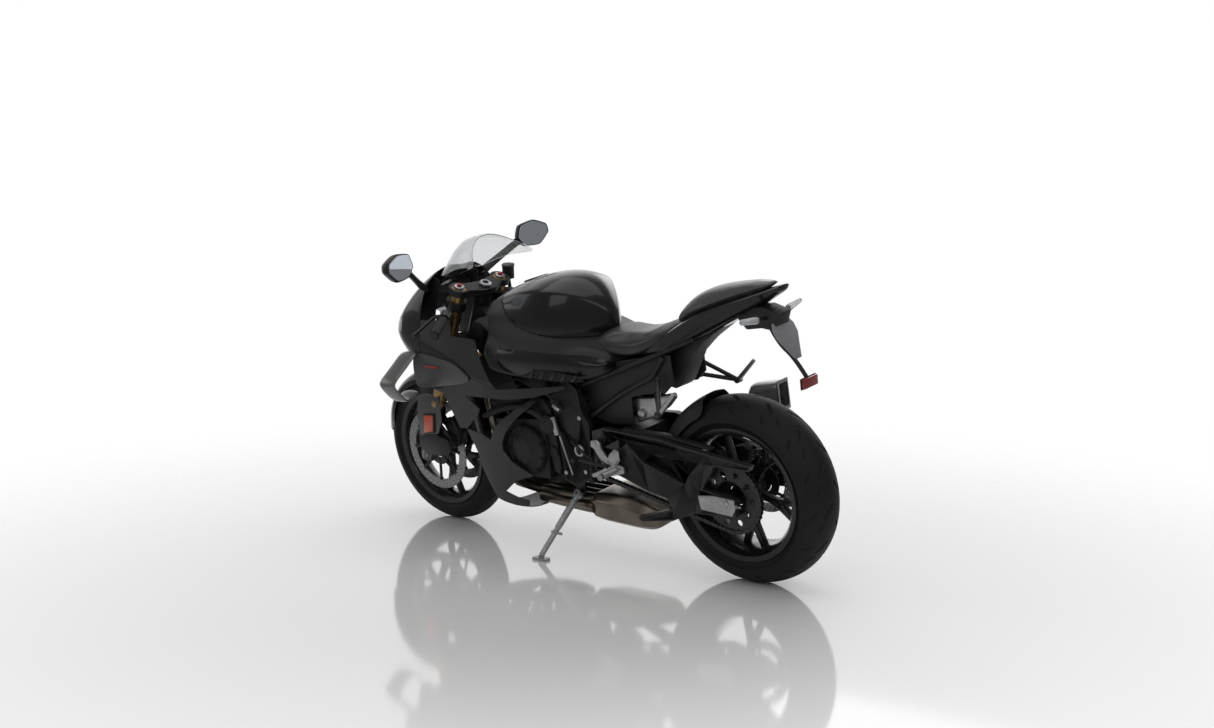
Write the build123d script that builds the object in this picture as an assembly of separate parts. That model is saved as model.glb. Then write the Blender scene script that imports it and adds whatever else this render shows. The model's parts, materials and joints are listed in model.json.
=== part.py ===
from build123d import *
import math
import os

# Sport bike, millimetres. Every piece is modelled with the bike upright: X forward from the
# rear axle, Y to the rider's left, Z up from the ground under the tyres. At the end the whole
# bike is leaned to the left onto its side stand and its origin is moved to the middle of the
# floor that it covers.

# ------------------------------------------------------------------ wheels and stance
WHEELBASE = 1457.0
FRONT_TYRE_R = 300.0
FRONT_TYRE_HALF_W = 60.0
REAR_TYRE_R = 320.0
REAR_TYRE_HALF_W = 95.0
FRONT_CROWN_R = 62.0
REAR_CROWN_R = 104.0
RIM_SEAT_R = 218.0
RIM_LIP_R = 229.0
RIM_LIP_T = 6.0
RIM_WALL = 6.0
TYRE_WALL = 9.0
FRONT_RIM_HALF_W = 50.0
REAR_RIM_HALF_W = 82.0
SPOKES = 5
SPOKE_FOOT_Y = 28.0
HUB_R = 34.0
LEAN_DEG = 9.34

# ------------------------------------------------------------------ steering
RAKE_DEG = 23.6
TRAIL = 99.8
FORK_HALF_SPACING = 106.0
FORK_TUBE_R = 27.0
STANCHION_R = 22.5
STEER_LOCK_DEG = 24.0
CLAMP_T = 24.0
UPPER_CLAMP_Z = 945.0
LOWER_CLAMP_Z = 745.0
FORK_TOP_Z = 968.0
FORK_TUBE_LOW_Z = 500.0
BAR_Z = 893.0
BAR_R = 11.0
GRIP_R = 16.5
GRIP_LENGTH = 125.0
BAR_END_Y = 345.0
FRONT_AXLE_R = 12.5
REAR_AXLE_R = 14.0
AXLE_BORE_R = 8.0

# ------------------------------------------------------------------ brakes and drive
FRONT_DISC_R = 160.0
FRONT_DISC_INNER_R = 122.0
FRONT_DISC_T = 4.5
FRONT_DISC_Y = 66.0
REAR_DISC_R = 110.0
REAR_DISC_T = 5.0
REAR_DISC_Y = -82.0
CHAIN_Y = 110.0
CHAIN_PITCH_R = 113.8
DRIVE_PITCH_R = 43.2
DRIVE_X, DRIVE_Z = 690.0, 396.0
CHAIN_HALF_H = 8.0
CHAIN_HALF_W = 9.0
SPROCKET_HALF_T = 3.4
SPROCKET_TIP_R = 117.0

# ------------------------------------------------------------------ bodywork
PANEL_WALL = 4.0
PANEL_GAP = 2.0
SKIN_GAP = 0.3
COVER_WALL = 6.0
SCREEN_WALL = 3.0
PIVOT_X, PIVOT_Z = 620.0, 412.0
RUN_CLEARANCE = 0.3

STEER_DIR = Vector(-math.sin(math.radians(RAKE_DEG)), 0, math.cos(math.radians(RAKE_DEG)))
STEER_GROUND_X = WHEELBASE + TRAIL
FRONT_AXLE = Vector(WHEELBASE, 0, FRONT_TYRE_R)
REAR_AXLE = Vector(0, 0, REAR_TYRE_R)


def steer_point(z):
    """Point of the steering axis at height z."""
    return Vector(STEER_GROUND_X, 0, 0) + STEER_DIR * (z / STEER_DIR.Z)


def fork_point(z, side=1):
    """Point of a fork leg's axis at height z, side 1 left and -1 right."""
    run = (z - FRONT_TYRE_R) / STEER_DIR.Z
    return Vector(WHEELBASE, side * FORK_HALF_SPACING, FRONT_TYRE_R) + STEER_DIR * run


# ------------------------------------------------------------------ shape helpers
def rod(start, end, radius):
    """Round bar from one point to another."""
    start, end = Vector(start), Vector(end)
    return Solid.make_cylinder(radius, (end - start).length, Plane(start, z_dir=end - start))


def pipe(points, radius, bend):
    """Bent round tube through the points, solid, with tangent bends."""
    path = FilletPolyline(*points, radius=bend)
    return sweep(Plane(path @ 0, z_dir=path % 0) * Circle(radius), path=path)


def side_slab(outline, y_from, y_to):
    """Slab with a side outline of (x, z) points between two lateral planes."""
    face = Face(Wire.make_polygon([Vector(x, y_from, z) for x, z in outline], close=True))
    return Solid.extrude(face, Vector(0, y_to - y_from, 0))


def front_slab(outline, x_from, x_to):
    """Slab with a front outline of (y, z) points between two stations."""
    face = Face(Wire.make_polygon([Vector(x_from, y, z) for y, z in outline], close=True))
    return Solid.extrude(face, Vector(x_to - x_from, 0, 0))


def block(x_from, x_to, y_from, y_to, z_from, z_to):
    """Rectangular block between three pairs of planes."""
    return side_slab([(x_from, z_from), (x_to, z_from), (x_to, z_to), (x_from, z_to)], y_from, y_to)


def both_sides(shape):
    """The shape and its mirror image across the bike's middle plane, as separate solids."""
    solids = list(shape.solids())
    return Compound(children=solids + [s.mirror(Plane.XZ) for s in solids])


def mirrored(shape):
    """The mirror image across the bike's middle plane."""
    return shape.mirror(Plane.XZ)


def fuse(first, *others):
    """One solid from pieces that touch or overlap."""
    return first.fuse(*others).clean() if others else first


def ring_profile(points):
    """Solid of revolution about the lateral axis from a closed outline of (r, y) points."""
    face = Face(Wire.make_polygon([Vector(r, y, 0) for r, y in points], close=True))
    return Solid.revolve(face, 360, Axis.Y)


def dome_face(x, half_w, z_side, z_top, z_low, half_low):
    """Cross-section with an elliptical top over straight sides, at station x."""
    plane = Plane((x, 0, 0), x_dir=(0, 1, 0), z_dir=(1, 0, 0))
    top = EllipticalCenterArc((0, z_side), half_w, z_top - z_side, 0, arc_size=180)
    edges = [
        top,
        Line((-half_w, z_side), (-half_low, z_low)),
        Line((-half_low, z_low), (half_low, z_low)),
        Line((half_low, z_low), (half_w, z_side)),
    ]
    return plane * make_face(edges)


def dome_loft(stations, shrink=0.0, ruled=False):
    """Body through dome sections (x, half_w, z_side, z_top, z_low, half_low)."""
    faces = [
        dome_face(x, w - shrink, zs, zt - shrink, zl, hl - shrink)
        for x, w, zs, zt, zl, hl in stations
    ]
    return loft(faces, ruled=ruled)


def inset(half, wall):
    """The half-section with every edge moved inwards by wall, or outwards if it is negative."""
    full = half + [(-y, z) for y, z in reversed(half[1:-1])]
    moved = []
    for i in range(len(half)):
        before, here, after = full[i - 1], full[i], full[(i + 1) % len(full)]
        normals = []
        for start, end in ((before, here), (here, after)):
            length = math.hypot(end[0] - start[0], end[1] - start[1])
            normals.append(((end[1] - start[1]) / length, (start[0] - end[0]) / length))
        (ay, az), (by, bz) = normals
        reach = wall / (1 + ay * by + az * bz)
        moved.append((here[0] + reach * (ay + by), here[1] + reach * (az + bz)))
    return moved


def section_loft(stations, wall=0.0):
    """Body through symmetrical polygon sections, moved inwards by wall all round and at its ends.

    Each station is (x, [(y, z), ...]) from the top middle to the bottom middle, where the
    first and last points lie on the middle plane.
    """
    low = min(x for x, half in stations) + wall
    high = max(x for x, half in stations) - wall
    wires = []
    for x, half in stations:
        left = inset(half, wall) if wall else half
        outline = left + [(-y, z) for y, z in reversed(left[1:-1])]
        place = min(max(x, low), high) if wall > 0 else x
        wires.append(Wire.make_polygon([Vector(place, y, z) for y, z in outline], close=True))
    return Solid.make_loft(wires, ruled=True)


# ------------------------------------------------------------------ wheels
def tyre(radius, half_w, crown_r, rim_half_w):
    """Hollow tyre about the lateral axis, beads resting on the rim."""
    def section(r_top, half, crown):
        shoulder_r = r_top - crown + math.sqrt(max(crown * crown - half * half, 1.0))
        mid = (half * 0.5, r_top - crown + math.sqrt(crown * crown - half * half * 0.25))
        return shoulder_r, mid
    outer_sh, outer_mid = section(radius, half_w * 0.94, crown_r)
    inner_r = radius - TYRE_WALL
    inner_half = half_w - TYRE_WALL
    inner_sh, inner_mid = section(inner_r, inner_half * 0.94, crown_r - TYRE_WALL)
    bead = rim_half_w - RIM_LIP_T
    wall_r = (outer_sh + RIM_LIP_R) / 2

    def half_pts(sign):
        return [
            Vector(radius, 0), Vector(outer_mid[1], sign * outer_mid[0]),
            Vector(outer_sh, sign * half_w * 0.94), Vector(wall_r, sign * half_w),
            Vector(RIM_LIP_R + 1, sign * bead), Vector(RIM_SEAT_R, sign * bead),
            Vector(RIM_SEAT_R, sign * (bead - TYRE_WALL)),
            Vector(RIM_LIP_R + 8, sign * (bead - TYRE_WALL)),
            Vector(wall_r, sign * (half_w - TYRE_WALL)),
            Vector(inner_sh, sign * inner_half * 0.94),
            Vector(inner_mid[1], sign * inner_mid[0]), Vector(inner_r, 0),
        ]
    lt, rt = half_pts(1), half_pts(-1)
    edges = [
        ThreePointArc(rt[2], lt[0], lt[2]),
        ThreePointArc(lt[2], lt[3], lt[4]),
        Line(lt[4], lt[5]),
        Line(lt[5], lt[6]),
        Line(lt[6], lt[7]),
        ThreePointArc(lt[7], lt[8], lt[9]),
        ThreePointArc(lt[9], lt[11], rt[9]),
        ThreePointArc(rt[9], rt[8], rt[7]),
        Line(rt[7], rt[6]),
        Line(rt[6], rt[5]),
        Line(rt[5], rt[4]),
        ThreePointArc(rt[4], rt[3], rt[2]),
    ]
    return revolve(make_face(edges), Axis.Y)


def rim(half_w, spoke_half_t, hub_half_w, bore_r):
    """Five-spoke wheel: barrel with lips, hub with a bore, and forked spokes."""
    well_r = RIM_SEAT_R - 18
    barrel = ring_profile([
        (RIM_LIP_R, half_w), (RIM_LIP_R, half_w - RIM_LIP_T), (RIM_SEAT_R, half_w - RIM_LIP_T),
        (RIM_SEAT_R, half_w - 22), (well_r, half_w - 32), (well_r, -half_w + 32),
        (RIM_SEAT_R, -half_w + 22), (RIM_SEAT_R, -half_w + RIM_LIP_T),
        (RIM_LIP_R, -half_w + RIM_LIP_T), (RIM_LIP_R, -half_w), (RIM_SEAT_R - 8, -half_w),
        (well_r - RIM_WALL, -half_w + 30), (well_r - RIM_WALL, half_w - 30),
        (RIM_SEAT_R - 8, half_w),
    ])
    hub = ring_profile([(bore_r, -hub_half_w), (HUB_R, -hub_half_w), (HUB_R, hub_half_w),
                        (bore_r, hub_half_w)])
    spoke_r = well_r - RIM_WALL / 2
    spokes = []
    for side in (-1, 1):
        root, tip, t = 9.0, 5.5, spoke_half_t
        foot = side * SPOKE_FOOT_Y
        outline = [(HUB_R - 6, side * 14 - root), (HUB_R - 6, side * 14 + root),
                   (spoke_r, foot + tip), (spoke_r, foot - tip)]
        wire = Wire.make_polygon([Vector(x, -t, z) for x, z in outline], close=True)
        spokes.append(Solid.extrude(Face(wire), Vector(0, 2 * t, 0)))
    arms = []
    for i in range(SPOKES):
        turn = 360.0 / SPOKES * i + 90
        arms += [s.rotate(Axis.Y, turn) for s in spokes]
    return fuse(barrel, hub, *arms)


def disc(radius, inner_r, thickness, y, carrier_r, carrier_inner_r, dish):
    """Brake disc at lateral place y with its carrier ring dished towards the hub by dish."""
    half = thickness / 2
    ring = ring_profile([(inner_r, y - half), (radius, y - half), (radius, y + half),
                         (inner_r, y + half)])
    carrier = ring_profile([
        (carrier_inner_r, y - dish - half), (carrier_r, y - dish - half),
        (inner_r + 3, y - half), (inner_r + 3, y + half), (inner_r - 4, y + half),
        (carrier_r - 6, y - dish + half), (carrier_inner_r, y - dish + half),
    ])
    return fuse(ring, carrier)


def at(shape, point):
    """The shape moved from the origin to a point."""
    return shape.moved(Location(point))


FRONT_HUB_HALF = 58.0
REAR_HUB_HALF = 70.0
front_tyre = at(tyre(FRONT_TYRE_R, FRONT_TYRE_HALF_W, FRONT_CROWN_R, FRONT_RIM_HALF_W), FRONT_AXLE)
rear_tyre = at(tyre(REAR_TYRE_R, REAR_TYRE_HALF_W, REAR_CROWN_R, REAR_RIM_HALF_W), REAR_AXLE)
front_rim = at(rim(FRONT_RIM_HALF_W, 14.0, FRONT_HUB_HALF, FRONT_AXLE_R + RUN_CLEARANCE), FRONT_AXLE)
rear_rim = at(rim(REAR_RIM_HALF_W, 16.0, REAR_HUB_HALF, REAR_AXLE_R + RUN_CLEARANCE), REAR_AXLE)

front_disc = disc(FRONT_DISC_R, FRONT_DISC_INNER_R, FRONT_DISC_T, FRONT_DISC_Y, 60.0, HUB_R,
                  FRONT_DISC_Y - FRONT_HUB_HALF + FRONT_DISC_T / 2)
front_discs = at(both_sides(front_disc), FRONT_AXLE)
rear_disc = at(disc(REAR_DISC_R, 78.0, REAR_DISC_T, REAR_DISC_Y, 52.0, HUB_R,
                    REAR_DISC_Y + REAR_HUB_HALF - REAR_DISC_T / 2), REAR_AXLE)


def sprocket():
    """Driven sprocket with its spider, joined to the left end of the hub."""
    web = ring_profile([
        (HUB_R, REAR_HUB_HALF), (HUB_R + 30, REAR_HUB_HALF), (88.0, CHAIN_Y - SPROCKET_HALF_T),
        (SPROCKET_TIP_R, CHAIN_Y - SPROCKET_HALF_T), (SPROCKET_TIP_R, CHAIN_Y + SPROCKET_HALF_T),
        (80.0, CHAIN_Y + SPROCKET_HALF_T), (HUB_R + 22, REAR_HUB_HALF + 8),
        (HUB_R, REAR_HUB_HALF + 8),
    ])
    cuts = []
    for i in range(SPOKES):
        hole = rod((68, 60, 0), (68, 120, 0), 15)
        cuts.append(hole.rotate(Axis.Y, 360.0 / SPOKES * i))
    return web.cut(*cuts)


rear_sprocket = at(sprocket(), REAR_AXLE)


def loop_outline(grow):
    """Face inside the chain's path, grown by grow, in the side plane through the chain."""
    d = math.hypot(DRIVE_X, DRIVE_Z - REAR_TYRE_R)
    slope = math.atan2(DRIVE_Z - REAR_TYRE_R, DRIVE_X)
    spread = math.acos((CHAIN_PITCH_R - DRIVE_PITCH_R) / d)
    big, small = CHAIN_PITCH_R + grow, DRIVE_PITCH_R + grow

    def on(cx, cz, r, angle):
        return Vector(cx + r * math.cos(angle), 0, cz + r * math.sin(angle))
    top, low = slope + spread, slope - spread
    big_top, big_low = on(0, REAR_TYRE_R, big, top), on(0, REAR_TYRE_R, big, low)
    small_top = on(DRIVE_X, DRIVE_Z, small, top)
    small_low = on(DRIVE_X, DRIVE_Z, small, low)
    edges = [
        Edge.make_three_point_arc(big_top, on(0, REAR_TYRE_R, big, slope + math.pi), big_low),
        Edge.make_line(big_low, small_low),
        Edge.make_three_point_arc(small_low, on(DRIVE_X, DRIVE_Z, small, slope), small_top),
        Edge.make_line(small_top, big_top),
    ]
    return Face(Wire(edges))


def loop_solid(grow, half_w):
    """Solid plug of the chain's path, grown by grow and half_w to each side of it."""
    face = loop_outline(grow).moved(Location((0, CHAIN_Y - half_w, 0)))
    return Solid.extrude(face, Vector(0, 2 * half_w, 0))


CHAIN_SLOT_HALF = 4.8
CHAIN_BRIDGE = 4.6
drive_chain = loop_solid(CHAIN_HALF_H, CHAIN_HALF_W).cut(
    loop_solid(-CHAIN_HALF_H, CHAIN_HALF_W + 1), loop_solid(CHAIN_BRIDGE, CHAIN_SLOT_HALF))


# ------------------------------------------------------------------ steering assembly
def steer_plane(z):
    """Plane square to the steering axis at height z, with its x direction to the front."""
    return Plane(steer_point(z), x_dir=(STEER_DIR.Z, 0, -STEER_DIR.X), z_dir=STEER_DIR)


FORK_OFFSET = (fork_point(FRONT_TYRE_R) - steer_point(FRONT_TYRE_R)).dot(
    Vector(STEER_DIR.Z, 0, -STEER_DIR.X))


def clamp(z, boss_r, stem_r, thickness):
    """Fork clamp with a boss round each leg, square to the steering axis."""
    plane = steer_plane(z)
    y = FORK_HALF_SPACING
    web = Polygon((-30, -30), (-30, 30), (FORK_OFFSET - 24, y), (FORK_OFFSET + 24, y),
                  (34, 0), (FORK_OFFSET + 24, -y), (FORK_OFFSET - 24, -y), align=None)
    sketch = web + Pos(FORK_OFFSET, y) * Circle(boss_r) + Pos(FORK_OFFSET, -y) * Circle(boss_r)
    sketch += Circle(stem_r)
    sketch -= Circle(STEM_BORE_R + 2)
    sketch -= Pos(FORK_OFFSET, y) * Circle(FORK_TUBE_R) + Pos(FORK_OFFSET, -y) * Circle(FORK_TUBE_R)
    return extrude(plane * sketch, amount=thickness / 2, both=True)


STEM_R = 16.0
STEM_BORE_R = 10.0
upper_clamp = clamp(UPPER_CLAMP_Z, 38.0, 30.0, CLAMP_T)
lower_clamp = clamp(LOWER_CLAMP_Z, 40.0, 34.0, 36.0)
stem_low = steer_point(LOWER_CLAMP_Z) - STEER_DIR * 18
stem_high = steer_point(UPPER_CLAMP_Z) - STEER_DIR * (CLAMP_T / 2)
stem = rod(stem_low, stem_high, STEM_R)
lower_clamp = fuse(lower_clamp.solids()[0], stem).cut(rod(stem_low - STEER_DIR, stem_high, STEM_BORE_R))

fork_tubes = Compound(children=[
    rod(fork_point(FORK_TUBE_LOW_Z, s), fork_point(FORK_TOP_Z, s), FORK_TUBE_R) for s in (1, -1)])


def fork_bottom(side):
    """Stanchion with its axle foot and caliper mounting lugs."""
    low = fork_point(FRONT_TYRE_R, side)
    shaft = rod(fork_point(FRONT_TYRE_R - 24, side), fork_point(FORK_TUBE_LOW_Z, side), STANCHION_R)
    sleeve = rod(fork_point(FRONT_TYRE_R - 26, side), fork_point(430, side), 28.0)
    y_in, y_out = FORK_HALF_SPACING - 20, FORK_HALF_SPACING + 20
    foot = rod((low.X, side * y_in, low.Z), (low.X, side * y_out, low.Z), 30.0)
    lug = side_slab([(1432, 300), (1380, 330), (1330, 345), (1322, 372), (1385, 425), (1408, 400)],
                    side * 92, side * 108)
    body = fuse(shaft, sleeve, foot, lug)
    return body.cut(rod((low.X, side * (y_in - 10), low.Z), (low.X, side * (y_out + 10), low.Z),
                        FRONT_AXLE_R))


fork_bottoms = Compound(children=[fork_bottom(1), fork_bottom(-1)])
front_axle = rod((WHEELBASE, -132, FRONT_TYRE_R), (WHEELBASE, 132, FRONT_TYRE_R), FRONT_AXLE_R)
front_axle = front_axle.cut(rod((WHEELBASE, -140, FRONT_TYRE_R), (WHEELBASE, 140, FRONT_TYRE_R),
                                AXLE_BORE_R))

BAR_INNER = Vector(1150, 190, BAR_Z)
BAR_OUTER = Vector(1063, BAR_END_Y, 850)


def clip_on():
    """Left bar with its clamp round the fork tube."""
    centre = fork_point(905, 1)
    ring_ = rod(centre - STEER_DIR * 16, centre + STEER_DIR * 16, 38.0)
    hole = rod(centre - STEER_DIR * 30, centre + STEER_DIR * 30, FORK_TUBE_R)
    direction = (BAR_OUTER - BAR_INNER).normalized()
    start = BAR_INNER - direction * 62
    bar = rod(start, BAR_OUTER + direction * 8, BAR_R)
    return fuse(ring_.cut(hole), bar.cut(hole)).solids().sort_by(SortBy.VOLUME)[-1]


BAR_DIR = (BAR_OUTER - BAR_INNER).normalized()
clip_on_left = clip_on()
clip_ons = both_sides(clip_on_left)
grip_start = BAR_OUTER - BAR_DIR * GRIP_LENGTH
grip = rod(grip_start, BAR_OUTER, GRIP_R).cut(rod(grip_start - BAR_DIR, BAR_OUTER + BAR_DIR, BAR_R))
grips = both_sides(grip)


def bar_control():
    """Switch housing, lever perch and lever of the left bar."""
    forward = Vector(BAR_DIR.Y, -BAR_DIR.X, 0).normalized()
    end = grip_start - BAR_DIR * 2
    housing = rod(end - BAR_DIR * 38, end, 21.0)
    housing = housing.cut(rod(end - BAR_DIR * 60, end + BAR_DIR * 20, BAR_R))
    pivot = end - BAR_DIR * 26 + forward * 44
    arm = rod(end - BAR_DIR * 26 + forward * 16, pivot, 8.0)
    tip = Vector(1182, 333, 842)
    lever = rod(pivot, tip, 6.0)
    ball = Solid.make_sphere(8.0, Plane(tip), angle1=-90, angle2=90, angle3=360)
    return fuse(housing, arm, lever, ball)


RESERVOIR_R = 23.0
RESERVOIR_H = 48.0
reservoir_base = Vector(1188, -172, 946)
reservoir = fuse(rod(reservoir_base, reservoir_base + Vector(-6, 0, RESERVOIR_H), RESERVOIR_R),
                 rod(Vector(1186, -172, 905), reservoir_base, 7.0))
bar_controls = Compound(children=[*both_sides(bar_control()).solids(), reservoir])

MUDGUARD_R = FRONT_TYRE_R + 14


def front_mudguard_shape():
    """Front mudguard: an arched shell over the tyre with side stays to the fork legs."""
    half, wall = 70.0, 3.0
    shell = ring_profile([
        (MUDGUARD_R, -46), (MUDGUARD_R + 8, 0), (MUDGUARD_R, 46), (MUDGUARD_R - 50, half),
        (MUDGUARD_R - 50, half - wall), (MUDGUARD_R - wall, 44), (MUDGUARD_R + 8 - wall, 0),
        (MUDGUARD_R - wall, -44), (MUDGUARD_R - 50, -half + wall), (MUDGUARD_R - 50, -half),
    ])
    shell = at(shell, FRONT_AXLE)
    keep = side_slab([(1457, 300), (1830, 395), (1700, 760), (1300, 760), (1090, 430)], -90, 90)
    arch = shell.intersect(keep)
    stay = side_slab([(1500, 540), (1420, 575), (1352, 540), (1372, 428), (1440, 396), (1476, 430)],
                     74.0, 78.0)
    stay = fuse(stay, block(1382, 1442, 65, 78, 560, 580))
    arch = arch.solids().sort_by(SortBy.VOLUME)[-1]
    return fuse(arch, stay, mirrored(stay))


front_mudguard = front_mudguard_shape()
CALIPER = [(1396, 312), (1336, 318), (1294, 396), (1332, 452), (1378, 424), (1390, 380)]
DISC_ROOM = 3.5
caliper = side_slab(CALIPER, 44, 88).cut(
    rod((WHEELBASE, FRONT_DISC_Y - DISC_ROOM, FRONT_TYRE_R),
        (WHEELBASE, FRONT_DISC_Y + DISC_ROOM, FRONT_TYRE_R), FRONT_DISC_R + 5),
    rod((WHEELBASE, 0, FRONT_TYRE_R), (WHEELBASE, FRONT_DISC_Y + DISC_ROOM, FRONT_TYRE_R),
        FRONT_DISC_INNER_R + 4), *fork_bottoms.solids())
front_calipers = both_sides(caliper.solids().sort_by(SortBy.VOLUME)[-1])

# ------------------------------------------------------------------ fairing
# Outer surface of the fairing by station: x, then the half-section (y, z) from the top middle
# over the shoulders, the rim, the main crease and the lower crease down to the lower edge.
FAIRING = [
    (1500, [(0, 838), (50, 835), (74, 828), (86, 816), (82, 800), (66, 790), (40, 785), (0, 785)]),
    (1470, [(0, 880), (90, 872), (140, 855), (165, 830), (172, 806), (165, 778), (130, 757), (0, 750)]),
    (1422, [(0, 935), (110, 918), (165, 890), (196, 856), (204, 815), (203, 775), (185, 745), (0, 735)]),
    (1361, [(0, 995), (110, 975), (168, 948), (199, 905), (213, 815), (216, 765), (206, 728), (0, 715)]),
    (1285, [(0, 1062), (105, 1036), (155, 992), (190, 930), (225, 793), (227, 738), (222, 690), (0, 690)]),
    (1180, [(0, 1062), (105, 1036), (152, 980), (188, 900), (236, 763), (240, 690), (228, 465), (0, 465)]),
    (1083, [(0, 1060), (100, 1030), (152, 960), (192, 870), (242, 729), (243, 668), (228, 465), (0, 465)]),
    (1006, [(0, 1050), (100, 1000), (155, 930), (196, 850), (245, 674), (243, 655), (230, 465), (0, 465)]),
    (900, [(0, 1000), (100, 950), (160, 850), (205, 760), (241, 668), (239, 642), (231, 560), (0, 560)]),
    (750, [(0, 900), (100, 850), (150, 780), (190, 720), (223, 664), (222, 645), (214, 600), (0, 600)]),
    (600, [(0, 850), (100, 800), (130, 760), (158, 705), (182, 662), (182, 656), (176, 640), (0, 640)]),
]
NOSE_REAR_X = 1285.0
WHOLE = 2000.0

fairing_outer = section_loft(FAIRING)
fairing_inner = section_loft(FAIRING, PANEL_WALL)
fairing_skin = section_loft(FAIRING, -SKIN_GAP)
fairing_shell = fairing_outer.cut(fairing_inner)
left_shell = fairing_shell.intersect(block(-WHOLE, WHOLE, 150, WHOLE, -WHOLE, WHOLE))
left_shell = left_shell.solids().sort_by(SortBy.VOLUME)[-1]

SIDE_PANEL = [
    (NOSE_REAR_X - PANEL_GAP, 868), (1180, 866), (1136, 860), (1120, 816), (1010, 806), (975, 750),
    (934, 684), (890, 677), (611, 664), (611, 655), (640, 645), (747, 617), (863, 603), (1062, 603),
    (1000, 556), (1006, 545), (1086, 473), (1122, 470), (1185, 600), (1240, 602),
    (NOSE_REAR_X - PANEL_GAP, 640),
]
side_panel = left_shell.intersect(side_slab(SIDE_PANEL, 100, 300)).solids()[0]

NOSE = [(NOSE_REAR_X, 700), (NOSE_REAR_X, 1030), (1330, 1100), (1600, 1100), (1600, 600)]
nose = fairing_shell.intersect(side_slab(NOSE, -300, 300))
nose = nose.solids().sort_by(SortBy.VOLUME)[-1]
nose = nose.cut(block(1200, 1392, -188, 188, 600, 775)).solids().sort_by(SortBy.VOLUME)[-1]
SCREEN_BASE = [(1200, 960), (1200, 1200), (1345, 1200), (1345, 1006)]
nose = nose.cut(side_slab(SCREEN_BASE, -96, 96)).solids().sort_by(SortBy.VOLUME)[-1]
nose = nose.cut(side_slab([(1380, 752), (1380, 803), (1560, 815), (1560, 752)], -48, 48))
nose = nose.solids().sort_by(SortBy.VOLUME)[-1]
LAMP = [(1400, 812), (1400, 862), (1480, 838), (1520, 820), (1520, 806)]
lamp_zone = side_slab(LAMP, 66, 300)
headlamp = nose.intersect(lamp_zone).solids().sort_by(SortBy.VOLUME)[-1]
nose_cowl = nose.cut(lamp_zone, mirrored(lamp_zone)).solids().sort_by(SortBy.VOLUME)[-1]
headlamps = both_sides(headlamp)
side_panels = both_sides(side_panel)

# Windscreen by station: x, half width, z of its edges, z of its top, z low, half width low.
SCREEN = [
    (1345, 94, 985, 1012, 980, 94),
    (1282, 106, 1020, 1092, 1015, 106),
    (1214, 122, 1040, 1141, 1035, 122),
    (1150, 138, 1042, 1150, 1037, 138),
    (1095, 155, 1038, 1150, 1033, 155),
    (1030, 170, 1044, 1145, 1039, 170),
]
screen_solid = dome_loft(SCREEN)
screen_inner = dome_loft([(x, w - SCREEN_WALL, zs, zt - SCREEN_WALL, zl - 30, hl - SCREEN_WALL)
                          for x, w, zs, zt, zl, hl in SCREEN])
TRAILING = [(1346, 1200), (1170, 1200), (1156, 1150), (1110, 1090), (1032, 1055), (1032, 1040),
            (1090, 1030), (1346, 985)]
windscreen = screen_solid.cut(screen_inner).intersect(side_slab(TRAILING, -300, 300))
windscreen = windscreen.solids().sort_by(SortBy.VOLUME)[-1].cut(nose_cowl)
windscreen = windscreen.solids().sort_by(SortBy.VOLUME)[-1]

# ------------------------------------------------------------------ winglets
ROOT_PLATE_T = 6.0
BLADE_OUT = [(226, 748), (262, 748), (380, 662), (378, 642), (302, 556), (232, 578)]
BLADE_HOLE = [(246, 716), (264, 716), (352, 656), (300, 586), (246, 602)]
ROOT_PLATE = [(1325, 712), (1240, 722), (1085, 727), (1012, 672), (1035, 655), (1235, 622),
              (1240, 600), (1320, 590)]


def winglet():
    """Closed loop blade on a root plate that lies on the side of the fairing."""
    loop = front_slab(BLADE_OUT, 1300, 1388).cut(front_slab(BLADE_HOLE, 1200, 1500))
    plate = section_loft(FAIRING, -ROOT_PLATE_T).cut(fairing_skin)
    plate = plate.intersect(side_slab(ROOT_PLATE, 180, 300)).solids().sort_by(SortBy.VOLUME)[-1]
    body = fuse(loop, plate).cut(fairing_skin)
    return body.solids().sort_by(SortBy.VOLUME)[-1]


winglet_left = winglet()
winglets = both_sides(winglet_left)

# ------------------------------------------------------------------ belly pan
BELLY = [
    (1130, [(0, 640), (205, 600), (204, 470), (188, 380), (150, 300), (90, 250), (0, 240)]),
    (1060, [(0, 640), (222, 600), (211, 450), (202, 350), (182, 260), (135, 205), (0, 190)]),
    (960, [(0, 640), (226, 600), (213, 450), (204, 350), (182, 260), (132, 188), (0, 172)]),
    (860, [(0, 640), (222, 600), (210, 450), (200, 350), (174, 262), (124, 184), (0, 168)]),
    (740, [(0, 640), (208, 600), (196, 450), (186, 350), (160, 280), (110, 200), (0, 185)]),
]
BELLY_OUTLINE = [
    (1116, 458), (1088, 404), (1072, 356), (1072, 310), (1046, 240), (1020, 190), (960, 150),
    (880, 150), (858, 212), (905, 218), (965, 236), (902, 284), (812, 314), (862, 338), (903, 362),
    (935, 404), (932, 430), (905, 473), (856, 522), (790, 575), (770, 596), (800, 596), (918, 517),
    (960, 482), (990, 434), (1034, 456),
]
belly_shell = section_loft(BELLY).cut(section_loft(BELLY, PANEL_WALL))
belly_left = belly_shell.intersect(side_slab(BELLY_OUTLINE, 0, 300))
belly_floor = belly_shell.intersect(side_slab([(1046, 240), (1020, 190), (960, 150), (880, 150),
                                               (858, 212)], -300, 300))
belly_parts = [belly_left.solids().sort_by(SortBy.VOLUME)[-1]]
belly_parts.append(mirrored(belly_parts[0]))
belly_pan = fuse(belly_parts[0], belly_parts[1], *belly_floor.solids())

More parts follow.
